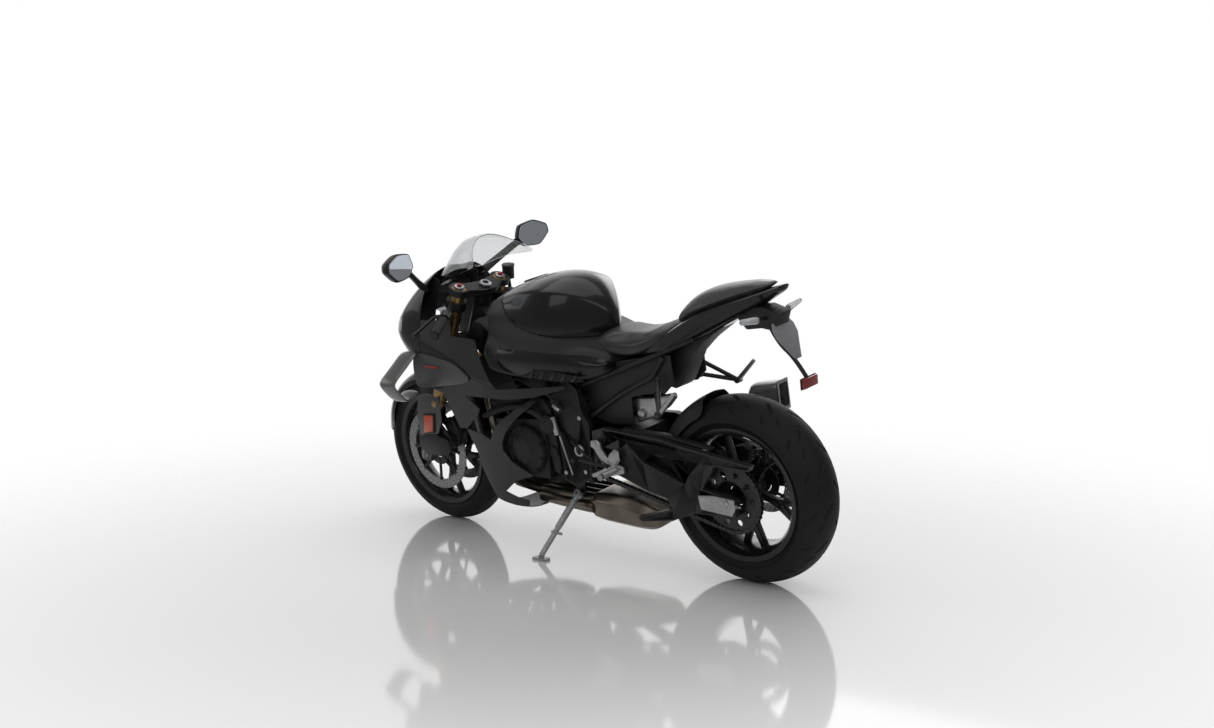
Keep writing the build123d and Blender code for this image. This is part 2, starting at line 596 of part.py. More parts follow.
# ------------------------------------------------------------------ tank, seats and tail
# Stations: x, half width, z of the widest line, z of the top, z of the base, half width below.
TANK = [
    (1012, 112, 860, 925, 760, 112),
    (930, 164, 850, 972, 715, 176),
    (830, 188, 850, 1003, 690, 186),
    (728, 192, 850, 1021, 690, 188),
    (630, 180, 850, 1013, 690, 178),
    (560, 152, 840, 972, 690, 160),
    (500, 122, 812, 848, 700, 140),
    (450, 112, 775, 790, 720, 118),
]
tank_body = dome_loft(TANK)
TANK_SEAM = [(968, 1100), (952, 972), (912, 948), (872, 908), (864, 888), (800, 860), (751, 847),
             (640, 830), (511, 816), (470, 835), (440, 1100)]
tank_zone = side_slab(TANK_SEAM, -260, 260)
fuel_tank = tank_body.intersect(tank_zone).solids().sort_by(SortBy.VOLUME)[-1]
seam_gap = side_slab([(x + (3 if z > 900 or x > 860 else 0), z - 3) for x, z in TANK_SEAM], -260, 260)
TANK_FRONT_X, TANK_REAR_X = TANK[0][0], TANK[-1][0]
tank_inner = dome_loft([(min(max(x, TANK_REAR_X + COVER_WALL), TANK_FRONT_X - COVER_WALL), w - COVER_WALL,
                         zs, zt - COVER_WALL, zl - 30, hl - COVER_WALL) for x, w, zs, zt, zl, hl in TANK])
tank_cover = tank_body.cut(seam_gap, tank_zone, tank_inner)
tank_cover = tank_cover.solids().sort_by(SortBy.VOLUME)[-1]

RIDER_SEAT = [
    (494, 104, 800, 838, 776, 92),
    (440, 118, 792, 836, 760, 108),
    (380, 134, 796, 833, 764, 118),
    (310, 142, 812, 848, 786, 118),
    (250, 136, 834, 868, 808, 112),
    (196, 112, 858, 889, 838, 96),
]
rider_seat = dome_loft(RIDER_SEAT)
SEAT_NOTCH = [(499, 900), (499, 770), (440, 752), (380, 756), (380, 900)]
tank_cover = tank_cover.cut(side_slab(SEAT_NOTCH, -130, 130))
tank_cover = tank_cover.solids().sort_by(SortBy.VOLUME)[-1]
# Plan of the tank behind its widest part, left side: x, y.
TANK_WAIST = [(700, 210), (648, 168), (610, 126), (575, 88), (535, 44), (506, 14)]
waist_right = [(x, -y) for x, y in reversed(TANK_WAIST)]
tank_plan = Wire.make_polygon([Vector(x, y, 600) for x, y in
                               [(1100, 210), *TANK_WAIST, *waist_right, (1100, -210)]], close=True)
tank_plan = Solid.extrude(Face(tank_plan), Vector(0, 0, 500))
fuel_tank = fuel_tank.cut(rider_seat).solids().sort_by(SortBy.VOLUME)[-1]
fuel_tank = fuel_tank.intersect(tank_plan).solids().sort_by(SortBy.VOLUME)[-1]

TAIL = [
    (330, 104, 790, 792, 748, 84),
    (250, 118, 822, 830, 762, 92),
    (190, 112, 862, 868, 796, 84),
    (100, 100, 908, 918, 838, 74),
    (0, 86, 944, 954, 888, 62),
    (-100, 66, 974, 984, 936, 44),
    (-192, 40, 1004, 1010, 986, 28),
]
tail_solid = dome_loft(TAIL)
seat_room = dome_loft([(x, w + 2, zs, zt + 200, zl - 1, hl + 2) for x, w, zs, zt, zl, hl in RIDER_SEAT])
tail_body = tail_solid.cut(seat_room).solids().sort_by(SortBy.VOLUME)[-1]
PAD = [
    (186, 84, 884, 903, 866, 84),
    (150, 98, 906, 944, 886, 98),
    (100, 100, 926, 976, 918, 98),
    (30, 88, 958, 1000, 946, 84),
    (-60, 68, 986, 1012, 976, 64),
    (-170, 34, 1014, 1022, 1008, 32),
]
passenger_seat = dome_loft(PAD).cut(tail_solid, seat_room).solids().sort_by(SortBy.VOLUME)[-1]

FENDER = [(296, 756), (286, 690), (262, 652), (240, 648), (222, 664), (196, 712), (163, 770), (110, 818),
          (32, 872), (-60, 918), (-60, 930), (60, 868), (190, 798)]
FENDER_HALF_W = 46.0
rear_inner_fender = side_slab(FENDER, -FENDER_HALF_W, FENDER_HALF_W).cut(tail_solid).solids().sort_by(SortBy.VOLUME)[-1]

# ------------------------------------------------------------------ plate hanger and lamps
hanger = side_slab([(-30, 905), (-62, 868), (-120, 876), (-150, 872), (-176, 884), (-190, 926),
                    (-130, 945), (-60, 940)], -40, 40)
hanger = hanger.cut(tail_solid, rear_inner_fender).solids().sort_by(SortBy.VOLUME)[-1]
FLAP_TOP, FLAP_LOW = Vector(-170, 0, 892), Vector(-226, 0, 780)
flap_dir = (FLAP_LOW - FLAP_TOP).normalized()
flap_plane = Plane(FLAP_TOP, x_dir=(0, 1, 0), z_dir=flap_dir.cross(Vector(0, 1, 0)))
flap_outline = Polygon((-46, 4), (46, 4), (58, -16), (58, -46), (16, -126), (-16, -126), (-58, -46),
                       (-58, -16), align=None)
flap = extrude(flap_plane * flap_outline, amount=2.0, both=True)
arm = rod(FLAP_TOP + flap_dir * 30, Vector(-256, 0, 712), 7.0)
plate_hanger = fuse(hanger, *flap.solids(), arm)
reflector = block(-266, -256, -40, 40, 690, 722)
SIGNAL_ROOT, SIGNAL_NECK, SIGNAL_TIP = (-142, 38, 911), (-142, 84, 915), (-138, 164, 925)
SIGNAL_STALK_R, SIGNAL_HEAD_R = 6.0, 12.0
signal = fuse(rod(SIGNAL_ROOT, SIGNAL_NECK, SIGNAL_STALK_R), rod(SIGNAL_NECK, SIGNAL_TIP, SIGNAL_HEAD_R))
rear_lamps = Compound(children=[piece.cut(plate_hanger).solids().sort_by(SortBy.VOLUME)[-1]
                                for piece in (signal, mirrored(signal), reflector)])

# ------------------------------------------------------------------ frame
SPAR = [
    (1070, 856), (1122, 796), (1000, 690), (850, 640), (735, 600), (705, 500), (700, 300), (655, 282),
    (575, 318), (566, 420), (560, 520), (590, 560), (600, 640), (640, 668), (760, 690),
    (950, 780), (1030, 850),
]
FRAME_IN, FRAME_OUT = 123.0, 145.0
frame_left = side_slab(SPAR, FRAME_IN, FRAME_OUT)
HEAD_R = 32.0
head_low, head_high = steer_point(LOWER_CLAMP_Z) + STEER_DIR * 26, steer_point(UPPER_CLAMP_Z) - STEER_DIR * 22
head_tube = rod(head_low, head_high, HEAD_R)
head_bore = rod(head_low - STEER_DIR * 5, head_high + STEER_DIR * 5, STEM_R + RUN_CLEARANCE)
head_webs = side_slab([(1140, 880), (1190, 790), (1110, 770), (1060, 800), (1090, 880)], -70, 70)
spar_upper = side_slab([(1080, 858), (1122, 796), (1070, 740), (960, 690), (900, 760), (1040, 846)], 60, FRAME_IN)
cross_low = rod((600, -FRAME_IN, 304), (600, FRAME_IN, 304), 12)
cross_high = rod((600, -FRAME_IN, 600), (600, FRAME_IN, 600), 14)
STAND_PIVOT = Vector(685, 108, 236)
stand_ear = side_slab([(704, 330), (660, 330), (664, 236), (685, 214), (704, 236)], 84, 92)
frame_sides = [frame_left, spar_upper]
main_frame = fuse(head_tube, head_webs, *frame_sides, *[mirrored(s) for s in frame_sides],
                  cross_low, cross_high)
main_frame = fuse(main_frame, block(660, 700, 84, FRAME_IN, 306, 322), stand_ear)
main_frame = main_frame.cut(head_bore).solids().sort_by(SortBy.VOLUME)[-1]
PIVOT_BORE_R = 17.0
main_frame = main_frame.cut(rod((PIVOT_X, -200, PIVOT_Z), (PIVOT_X, 200, PIVOT_Z), PIVOT_BORE_R))

SUB_R = 9.5
sub_upper = pipe([(606, 108, 648), (420, 106, 718), (272, 100, 776), (120, 74, 836)], SUB_R, 60)
sub_lower = pipe([(584, 108, 534), (424, 106, 635), (290, 102, 700), (238, 98, 772)], SUB_R, 45)
sub_cross = rod((272, -100, 776), (272, 100, 776), SUB_R)
rear_subframe = fuse(sub_upper, sub_lower, sub_cross, mirrored(sub_upper), mirrored(sub_lower))

# ------------------------------------------------------------------ engine
CASE = [(1010, 520), (1030, 380), (985, 290), (900, 262), (700, 268), (660, 330), (668, 520),
        (760, 560), (860, 570)]
HEAD = [(860, 560), (1010, 515), (1085, 700), (1040, 735), (930, 735)]
crankcase = side_slab(CASE, -82, 82)
case_wings = side_slab([(1000, 500), (1010, 380), (960, 300), (760, 300), (752, 420), (770, 520)], -160, 160)
cylinders = side_slab(HEAD, -150, 150)
engine_block = fuse(crankcase, case_wings, cylinders)
COVER_X, COVER_Z, COVER_R = 850.0, 405.0, 88.0
generator_cover = fuse(rod((COVER_X, 160, COVER_Z), (COVER_X, 184, COVER_Z), COVER_R),
                       rod((COVER_X, 184, COVER_Z), (COVER_X, 194, COVER_Z), COVER_R - 26))
clutch_cover = fuse(rod((800, -160, 410), (800, -182, 410), 84), rod((800, -182, 410), (800, -192, 410), 66))
sprocket_cover = side_slab([(750, 462), (750, 342), (708, 330), (708, 470)], 121, 140)
engine_block = engine_block.cut(loop_solid(CHAIN_HALF_H + 5, CHAIN_HALF_W + 3))
engine_block = engine_block.solids().sort_by(SortBy.VOLUME)[-1]
main_frame = main_frame.cut(engine_block).solids().sort_by(SortBy.VOLUME)[-1]
COVER_ROOM = 2.0
belly_pan = belly_pan.cut(rod((COVER_X, 150, COVER_Z), (COVER_X, 200, COVER_Z), COVER_R + COVER_ROOM))
belly_pan = belly_pan.solids().sort_by(SortBy.VOLUME)[-1]
engine_covers = Compound(children=[generator_cover, clutch_cover, sprocket_cover])
tank_cover = tank_cover.cut(main_frame).solids().sort_by(SortBy.VOLUME)[-1]
RADIATOR = [(1156, 690), (1102, 430), (1073, 438), (1127, 698)]
radiator = side_slab(RADIATOR, -165, 165)

# ------------------------------------------------------------------ exhaust
BOX = [
    (640, [(0, 236), (70, 236), (96, 214), (92, 160), (60, 138), (0, 138)]),
    (460, [(0, 252), (84, 252), (108, 214), (100, 158), (64, 134), (0, 134)]),
    (370, [(0, 222), (84, 222), (106, 196), (98, 156), (64, 134), (0, 134)]),
    (320, [(0, 206), (50, 206), (64, 198), (60, 178), (44, 168), (0, 168)]),
]
exhaust_box = section_loft(BOX)
HEADER_R = 19.0
headers = []
for y_port, y_low in ((126, 62), (42, 22), (-42, -22), (-126, -62)):
    header = pipe([(1030, y_port, 596), (1066, y_port, 586), (1047, y_port, 450), (1052, y_port * 0.9, 360),
                   (1004, y_low * 1.4, 238), (900, y_low, 212), (630, y_low, 212)], HEADER_R, 22)
    headers.append(header.cut(engine_block, exhaust_box).solids().sort_by(SortBy.VOLUME)[-1])
exhaust_headers = Compound(children=headers)
SILENCER = [
    (300, [(0, 54), (30, 54), (42, 40), (42, -40), (30, -54), (0, -54)]),
    (150, [(0, 64), (34, 64), (46, 48), (46, -48), (34, -64), (0, -64)]),
    (0, [(0, 46), (34, 46), (45, 34), (45, -34), (34, -46), (0, -46)]),
]
silencer_body = section_loft(SILENCER)
silencer_body = silencer_body.cut(block(-10, 60, -38, 38, -34, 34))
SILENCER_MOUTH = Vector(-30, -200, 585)
silencer = silencer_body.rotate(Axis.Y, 27).moved(Location(SILENCER_MOUTH))
silencer_pipe = pipe([(430, -70, 190), (380, -154, 206), (310, -184, 300), (230, -196, 440)], 23, 40)
silencer_pipe = silencer_pipe.cut(exhaust_box)
silencer = fuse(silencer, silencer_pipe)

# ------------------------------------------------------------------ swingarm
ARM_LEFT = [
    (548, 498), (500, 512), (395, 508), (252, 500), (60, 474), (-112, 454), (-104, 436), (32, 436),
    (89, 350), (-3, 338), (-46, 330), (-38, 272), (126, 262), (222, 222), (363, 196), (378, 212),
    (222, 262), (242, 298), (319, 311), (440, 350), (548, 358),
]
ARM_HOLES = [
    [(330, 414), (296, 446), (246, 446), (160, 358)],
    [(206, 440), (140, 442), (138, 392)],
    [(420, 486), (396, 470), (440, 440), (500, 446)],
]
ARM_IN, ARM_OUT = 123.0, 147.0
arm_left = side_slab(ARM_LEFT, ARM_IN, ARM_OUT).cut(*[side_slab(h, 100, 160) for h in ARM_HOLES])
ARM_RIGHT = [
    (548, 498), (395, 505), (60, 420), (-46, 352), (-46, 292), (126, 282), (319, 311), (440, 350),
    (548, 358),
]
arm_right = side_slab(ARM_RIGHT, -ARM_OUT, -ARM_IN)
arm_front = side_slab([(650, 440), (650, 384), (560, 372), (430, 380), (430, 470), (545, 488)], -90, 90)
pivot_tube = rod((PIVOT_X, -94, PIVOT_Z), (PIVOT_X, 94, PIVOT_Z), 30)
bridge = side_slab([(545, 488), (430, 478), (430, 380), (545, 372)], -ARM_OUT, ARM_OUT)
swingarm = fuse(bridge, arm_left, arm_right, arm_front, pivot_tube)
swingarm = swingarm.cut(rod((PIVOT_X, -200, PIVOT_Z), (PIVOT_X, 200, PIVOT_Z), PIVOT_BORE_R))
swingarm = swingarm.cut(loop_solid(CHAIN_HALF_H + 6, CHAIN_HALF_W + 5)).solids().sort_by(SortBy.VOLUME)[-1]
swingarm = swingarm.cut(rod((0, -200, REAR_TYRE_R), (0, 200, REAR_TYRE_R), REAR_AXLE_R))
pivot_shaft = rod((PIVOT_X, -149, PIVOT_Z), (PIVOT_X, 149, PIVOT_Z), PIVOT_BORE_R)
rear_axle = fuse(rod((0, -160, REAR_TYRE_R), (0, 160, REAR_TYRE_R), REAR_AXLE_R),
                 side_slab([(100, 326), (-45, 332), (-36, 280), (110, 280)], ARM_OUT, ARM_OUT + 8),
                 side_slab([(60, 340), (-45, 340), (-40, 300), (60, 300)], -ARM_OUT - 8, -ARM_OUT))
rear_axle = rear_axle.cut(rod((0, -170, REAR_TYRE_R), (0, 170, REAR_TYRE_R), AXLE_BORE_R))

HUGGER_R = REAR_TYRE_R + 16
hugger = ring_profile([
    (HUGGER_R, -60), (HUGGER_R + 8, 0), (HUGGER_R, 60), (HUGGER_R - 56, 95), (HUGGER_R - 56, 92),
    (HUGGER_R - 3, 58), (HUGGER_R + 5, 0), (HUGGER_R - 3, -58), (HUGGER_R - 56, -92),
    (HUGGER_R - 56, -95),
])
hugger = at(hugger, REAR_AXLE).intersect(side_slab([(100, 800), (60, 590), (250, 430), (330, 500),
                                                    (440, 560), (300, 700)], -130, 130))
rear_hugger = hugger.solids().sort_by(SortBy.VOLUME)[-1]
SHOCK_LOW, SHOCK_HIGH = (420, 0, 520), (478, 0, 650)
rear_shock = fuse(rod(SHOCK_LOW, SHOCK_HIGH, 30), rod((470, 0, 640), (486, 0, 672), 16),
                  rod((380, 36, 575), (440, 52, 590), 24))
rear_caliper = block(56, 116, -112, -70, 380, 436).cut(
    rod((0, REAR_DISC_Y - 4, REAR_TYRE_R), (0, REAR_DISC_Y + 4, REAR_TYRE_R), REAR_DISC_R + 5))
rear_subframe = rear_subframe.cut(main_frame, tail_solid).solids().sort_by(SortBy.VOLUME)[-1]

# ------------------------------------------------------------------ footrests
RIDER_PEG = [(563, 462), (540, 470), (528, 446), (486, 410), (440, 392), (406, 388), (432, 356),
             (500, 352), (563, 340), (566, 352), (486, 376), (520, 414)]
peg_plate = side_slab(RIDER_PEG, 150, 164)
peg = rod((446, 160, 374), (446, 240, 374), 11)
rider_pegs = both_sides(fuse(peg_plate, peg))
HANGER_R = 8.0
HANGER_JOINT = Vector(178, 218, 617)
HANGER_TIP = Vector(106, 222, 692)
passenger_hanger = fuse(rod((250, 122, 702), HANGER_JOINT, HANGER_R), rod((262, 122, 656), HANGER_JOINT, HANGER_R),
                        rod((262, 120, 648), (248, 120, 712), HANGER_R), rod(HANGER_JOINT, HANGER_TIP, HANGER_R + 1),
                        Solid.make_sphere(13.0, Plane(HANGER_JOINT), angle1=-90, angle2=90, angle3=360))
passenger_peg_hangers = both_sides(passenger_hanger)

# ------------------------------------------------------------------ cockpit
display = block(1282, 1298, -75, 75, 955, 1030)
display = display.rotate(Axis((1290, 0, 992), (0, 1, 0)), -40)
DASH = [(1380, 900), (1340, 985), (1320, 985), (1310, 930), (1340, 880)]
cockpit_stay = side_slab(DASH, -90, 90).cut(display)
mirror_head = front_slab([(276, 1075), (300, 1045), (372, 1042), (416, 1082), (410, 1112), (352, 1128),
                          (296, 1116)], 1190, 1226)
mirror_stalk = pipe([(1288, 176, 985), (1262, 222, 1016), (1222, 300, 1070)], 13, 40)
mirror = fuse(mirror_head, mirror_stalk)
mirrors = both_sides(mirror.cut(fairing_skin).solids().sort_by(SortBy.VOLUME)[-1])

# ------------------------------------------------------------------ side stand
SIN_LEAN, COS_LEAN = math.sin(math.radians(LEAN_DEG)), math.cos(math.radians(LEAN_DEG))
FLOOR_Z = -REAR_CROWN_R * (1 - COS_LEAN)
FOOT_X, FOOT_Y, FOOT_T = 728.0, 288.0, 8.0
FOOT_Z = (FLOOR_Z + FOOT_Y * SIN_LEAN) / COS_LEAN
STAND_FOLDED = Vector(-255, 58, -22)
foot_point = Vector(FOOT_X, FOOT_Y, FOOT_Z)
ground_up = Vector(0, -SIN_LEAN, COS_LEAN)
leg_end = foot_point + ground_up * (FOOT_T + 6)
leg = rod(STAND_PIVOT, leg_end, 10.0)
pad_plane = Plane(foot_point, x_dir=(1, 0, 0), z_dir=ground_up)
pad = extrude(pad_plane * RectangleRounded(64, 34, 8), amount=FOOT_T)
pad_post = rod(foot_point + ground_up * 2, leg_end, 10.0)
STAND_OPEN = (foot_point - STAND_PIVOT)
STAND_AXIS = STAND_OPEN.cross(STAND_FOLDED).normalized()
stand_eye = rod(STAND_PIVOT - STAND_AXIS * 11, STAND_PIVOT + STAND_AXIS * 11, 15.0)
STAND_PIN_R = 5.0
EYE_HALF = 11.0
EYE_GAP = 0.8
stand_inward = STAND_AXIS if STAND_AXIS.Y < 0 else -STAND_AXIS
side_stand = fuse(leg, pad_post, stand_eye, *pad.solids()).cut(
    rod(STAND_PIVOT - STAND_AXIS * 20, STAND_PIVOT + STAND_AXIS * 20, STAND_PIN_R + RUN_CLEARANCE))
side_stand = side_stand.solids().sort_by(SortBy.VOLUME)[-1]
stand_pin = rod(STAND_PIVOT + stand_inward * 20, STAND_PIVOT - stand_inward * EYE_HALF, STAND_PIN_R)
eye_room = rod(STAND_PIVOT - STAND_AXIS * (EYE_HALF + EYE_GAP), STAND_PIVOT + STAND_AXIS * (EYE_HALF + EYE_GAP), 16.0)
main_frame = fuse(main_frame.cut(eye_room).solids().sort_by(SortBy.VOLUME)[-1], stand_pin)
STAND_FOLD_DEG = STAND_OPEN.get_angle(STAND_FOLDED)

UPRIGHT = {
    "front_tyre": front_tyre, "front_rim": front_rim, "front_discs": front_discs,
    "rear_tyre": rear_tyre, "rear_rim": rear_rim, "rear_disc": rear_disc,
    "rear_sprocket": rear_sprocket, "drive_chain": drive_chain,
    "upper_clamp": upper_clamp, "lower_clamp": lower_clamp, "fork_tubes": fork_tubes,
    "fork_bottoms": fork_bottoms, "front_axle": front_axle, "clip_ons": clip_ons, "grips": grips,
    "bar_controls": bar_controls, "front_mudguard": front_mudguard,
    "front_calipers": front_calipers,
    "side_panels": side_panels, "nose_cowl": nose_cowl, "headlamps": headlamps,
    "windscreen": windscreen, "winglets": winglets, "belly_pan": belly_pan,
    "fuel_tank": fuel_tank, "tank_cover": tank_cover, "rider_seat": rider_seat,
    "tail_body": tail_body, "passenger_seat": passenger_seat, "rear_inner_fender": rear_inner_fender,
    "plate_hanger": plate_hanger, "rear_lamps": rear_lamps,
    "main_frame": main_frame, "rear_subframe": rear_subframe, "engine_block": engine_block,
    "engine_covers": engine_covers, "radiator": radiator,
    "exhaust_box": exhaust_box, "exhaust_headers": exhaust_headers, "silencer": silencer,
    "swingarm": swingarm, "pivot_shaft": pivot_shaft,
    "rear_axle": rear_axle, "rear_hugger": rear_hugger, "rear_shock": rear_shock,
    "rear_caliper": rear_caliper, "rider_pegs": rider_pegs,
    "passenger_peg_hangers": passenger_peg_hangers, "display": display, "cockpit_stay": cockpit_stay,
    "mirrors": mirrors, "side_stand": side_stand,
}

# ------------------------------------------------------------------ stance
lean = Rotation(-LEAN_DEG, 0, 0)
leaned = {name: shape.moved(lean) for name, shape in UPRIGHT.items()}
low, high = Vector(1e9, 1e9, 1e9), Vector(-1e9, -1e9, -1e9)
for shape in leaned.values():
    bounds = shape.bounding_box()
    low = Vector(min(low.X, bounds.min.X), min(low.Y, bounds.min.Y), min(low.Z, bounds.min.Z))
    high = Vector(max(high.X, bounds.max.X), max(high.Y, bounds.max.Y), max(high.Z, bounds.max.Z))
ORIGIN = Vector((low.X + high.X) / 2, (low.Y + high.Y) / 2, low.Z)
to_stance = Location(-ORIGIN) * lean

os.makedirs("parts", exist_ok=True)
for name, shape in UPRIGHT.items():
    export_step(shape.moved(to_stance), f"parts/{name}.step")
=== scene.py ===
"""Dress of a faired sport motorcycle that leans on its side stand.

Every shape is worked out with the motorcycle upright, in millimetres: X forward from the rear
axle, Y to the rider's left, Z up from the ground. Stance.matrix() leans it and moves it into
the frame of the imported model.
"""

import json
import logging
import math
from dataclasses import dataclass
from enum import Enum
from typing import ClassVar, Dict, List, Optional, Sequence, Tuple, Union

import bmesh
import bpy
from mathutils import Matrix, Vector

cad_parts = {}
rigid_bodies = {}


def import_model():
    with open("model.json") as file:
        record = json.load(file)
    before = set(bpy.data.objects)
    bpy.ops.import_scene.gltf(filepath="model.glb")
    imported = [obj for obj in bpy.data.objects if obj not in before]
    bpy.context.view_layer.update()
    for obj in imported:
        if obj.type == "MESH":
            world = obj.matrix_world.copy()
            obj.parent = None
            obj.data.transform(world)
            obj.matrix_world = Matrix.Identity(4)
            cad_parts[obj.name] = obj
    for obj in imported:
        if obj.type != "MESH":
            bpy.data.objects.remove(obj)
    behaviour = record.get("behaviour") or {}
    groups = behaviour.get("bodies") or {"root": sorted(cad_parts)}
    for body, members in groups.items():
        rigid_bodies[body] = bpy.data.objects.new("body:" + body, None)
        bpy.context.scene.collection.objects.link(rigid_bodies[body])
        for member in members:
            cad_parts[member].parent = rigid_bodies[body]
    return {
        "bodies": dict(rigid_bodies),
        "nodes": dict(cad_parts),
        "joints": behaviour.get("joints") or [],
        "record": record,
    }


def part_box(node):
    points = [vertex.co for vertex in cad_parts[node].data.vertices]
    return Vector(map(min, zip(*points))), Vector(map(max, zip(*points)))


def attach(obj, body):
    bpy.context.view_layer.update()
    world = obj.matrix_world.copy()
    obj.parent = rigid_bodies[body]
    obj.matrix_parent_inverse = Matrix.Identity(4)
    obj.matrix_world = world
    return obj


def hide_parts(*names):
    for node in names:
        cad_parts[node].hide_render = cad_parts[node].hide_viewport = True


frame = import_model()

LOG = logging.getLogger("motorcycle")
Point = Tuple[float, float, float]
Flat = Tuple[float, float]
Colour = Tuple[float, float, float]
Rows = Sequence[Sequence[float]]
Sections = Sequence[Tuple[float, Sequence[Flat]]]
Pieces = Union[bpy.types.Object, List[bpy.types.Object]]

REAR_AXLE: Point = (0.0, 0.0, 320.0)
FRONT_AXLE: Point = (1457.0, 0.0, 300.0)
RAKE = math.radians(23.6)
STEER_FOOT = Vector((1556.8, 0.0, 0.0))
FORK_SPREAD = 106.0
AIM_FROM_REAR = Vector((0.6751, -0.05193, 0.35456))
STEER_DIR = Vector((-math.sin(RAKE), 0.0, math.cos(RAKE)))


class Body(Enum):
    """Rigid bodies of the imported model."""

    CHASSIS = "chassis"
    STEERING = "steering"
    FRONT_WHEEL = "front_wheel"
    REAR_WHEEL = "rear_wheel"
    SIDE_STAND = "side_stand"


@dataclass(frozen=True)
class Stance:
    """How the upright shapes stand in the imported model's frame."""

    lean: float = math.radians(9.34)

    def matrix(self) -> Matrix:
        """Upright millimetres to leaned metres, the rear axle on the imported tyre's middle."""
        low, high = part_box("rear_tyre")
        middle = (Vector(low) + Vector(high)) / 2
        to_axle = Matrix.Translation(-Vector(REAR_AXLE))
        scale = Matrix.Scale(0.001, 4)
        return Matrix.Translation(middle) @ Matrix.Rotation(-self.lean, 4, "X") @ scale @ to_axle


STANCE = Stance().matrix()


def add_nodes(tree: bpy.types.NodeTree, *kinds: str) -> List[bpy.types.Node]:
    """New shader nodes, each named by the end of its type."""
    return [tree.nodes.new("ShaderNode" + kind) for kind in kinds]


def wire(tree: bpy.types.NodeTree,
         *runs: Tuple[bpy.types.Node, str, bpy.types.Node, Union[str, int]]) -> None:
    """Links nodes, each run given as node, output, node and input."""
    for source, output, target, socket in runs:
        tree.links.new(source.outputs[output], target.inputs[socket])


# ---------------------------------------------------------------------------- finishes
@dataclass(frozen=True)
class Finish:
    """One surface finish, made as a node material the first time that it is used.

    colour is linear. mottle is how far the colour varies, at grain cycles per metre. bump is
    the height in metres of the fine relief at texture cycles per metre. scuff widens the
    roughness in broad, faint patches.
    """

    name: str
    colour: Colour
    roughness: float = 0.4
    metallic: float = 0.0
    coat: float = 0.0
    mottle: float = 0.12
    grain: float = 60.0
    bump: float = 0.00004
    texture: float = 900.0
    scuff: float = 0.06
    specular: float = 0.5
    stretch: Point = (1.0, 1.0, 1.0)

    def material(self) -> bpy.types.Material:
        """The finish's material, built once."""
        found = bpy.data.materials.get(self.name)
        if found:
            return found
        made = bpy.data.materials.new(self.name)
        made.use_nodes = True
        tree = made.node_tree
        shader = tree.nodes["Principled BSDF"]
        shader.inputs["Metallic"].default_value = self.metallic
        shader.inputs["Coat Weight"].default_value = self.coat
        shader.inputs["Coat Roughness"].default_value = 0.04
        shader.inputs["Specular IOR Level"].default_value = self.specular
        place, mapping, broad, fine, ramp, spread = add_nodes(
            tree, "TexCoord", "Mapping", "TexNoise", "TexNoise", "ValToRGB", "MapRange")
        mapping.inputs["Scale"].default_value = self.stretch
        for noise, scale, detail in ((broad, self.grain, 3.0), (fine, self.texture, 2.0)):
            noise.inputs["Scale"].default_value = scale
            noise.inputs["Detail"].default_value = detail
        for element, position, factor in zip(
                ramp.color_ramp.elements, (0.3, 0.7), (1 - self.mottle, 1 + self.mottle)):
            element.position = position
            element.color = (*[min(1.0, c * factor) for c in self.colour], 1.0)
        spread.inputs["To Min"].default_value = max(0.02, self.roughness - self.scuff)
        spread.inputs["To Max"].default_value = min(1.0, self.roughness + self.scuff)
        wire(tree, (place, "Object", mapping, "Vector"), (mapping, "Vector", broad, "Vector"),
             (mapping, "Vector", fine, "Vector"), (broad, "Fac", ramp, "Fac"),
             (ramp, "Color", shader, "Base Color"), (broad, "Fac", spread, "Value"),
             (spread, "Result", shader, "Roughness"))
        if self.bump > 0:
            relief, = add_nodes(tree, "Bump")
            relief.inputs["Strength"].default_value = 0.6
            relief.inputs["Distance"].default_value = self.bump
            wire(tree, (fine, "Fac", relief, "Height"), (relief, "Normal", shader, "Normal"))
        self.extras(shader)
        return made

    def extras(self, shader: bpy.types.Node) -> None:
        """Nothing more for a plain finish."""


@dataclass(frozen=True)
class ClearFinish(Finish):
    """See-through plastic or glass with a faint tint."""

    clear: float = 0.8
    ior: float = 1.45

    def extras(self, shader: bpy.types.Node) -> None:
        """Lets light through the shader."""
        shader.inputs["Transmission Weight"].default_value = self.clear
        shader.inputs["IOR"].default_value = self.ior


@dataclass(frozen=True)
class PaintedGlowFinish(Finish):
    """Lens that is no lamp, with a faint painted glow in its own colour."""

    # painted_glow: emission strength painted onto the lens, in place of the light that it reflects
    painted_glow: float = 0.2

    def extras(self, shader: bpy.types.Node) -> None:
        """Adds the painted glow."""
        shader.inputs["Emission Color"].default_value = (*self.colour, 1.0)
        shader.inputs["Emission Strength"].default_value = self.painted_glow


PAINT = Finish(
    "gloss_black_metallic", (0.0075, 0.0078, 0.0078), 0.26, 0.15, 0.40, 0.10, 700.0, 0.0,
    scuff=0.03, specular=0.25)
MATT_PAINT = Finish("matt_dark_grey", (0.028, 0.029, 0.031), 0.42, 0.2, 0.0, 0.08, 500.0, 0.00001)
SATIN_BLACK = Finish("satin_black", (0.010, 0.010, 0.011), 0.38, 0.1, 0.0, 0.15, 80.0, 0.00002)
PLASTIC = Finish(
    "grained_black_plastic", (0.014, 0.014, 0.015), 0.55, 0.0, 0.0, 0.15, 120.0, 0.00008, 1500.0)
FRAME_METAL = Finish(
    "satin_dark_frame", (0.018, 0.018, 0.020), 0.42, 0.35, 0.0, 0.15, 60.0, 0.00004)
ARM_METAL = Finish("satin_black_arm", (0.030, 0.030, 0.031), 0.36, 0.25, 0.0, 0.15, 60.0, 0.00003)
CAST_DARK = Finish(
    "dark_cast_alloy", (0.022, 0.022, 0.024), 0.5, 0.5, 0.0, 0.25, 90.0, 0.00012, 700.0)
CAST_GREY = Finish(
    "grey_cast_alloy", (0.10, 0.10, 0.105), 0.42, 0.7, 0.0, 0.2, 90.0, 0.00008, 700.0)
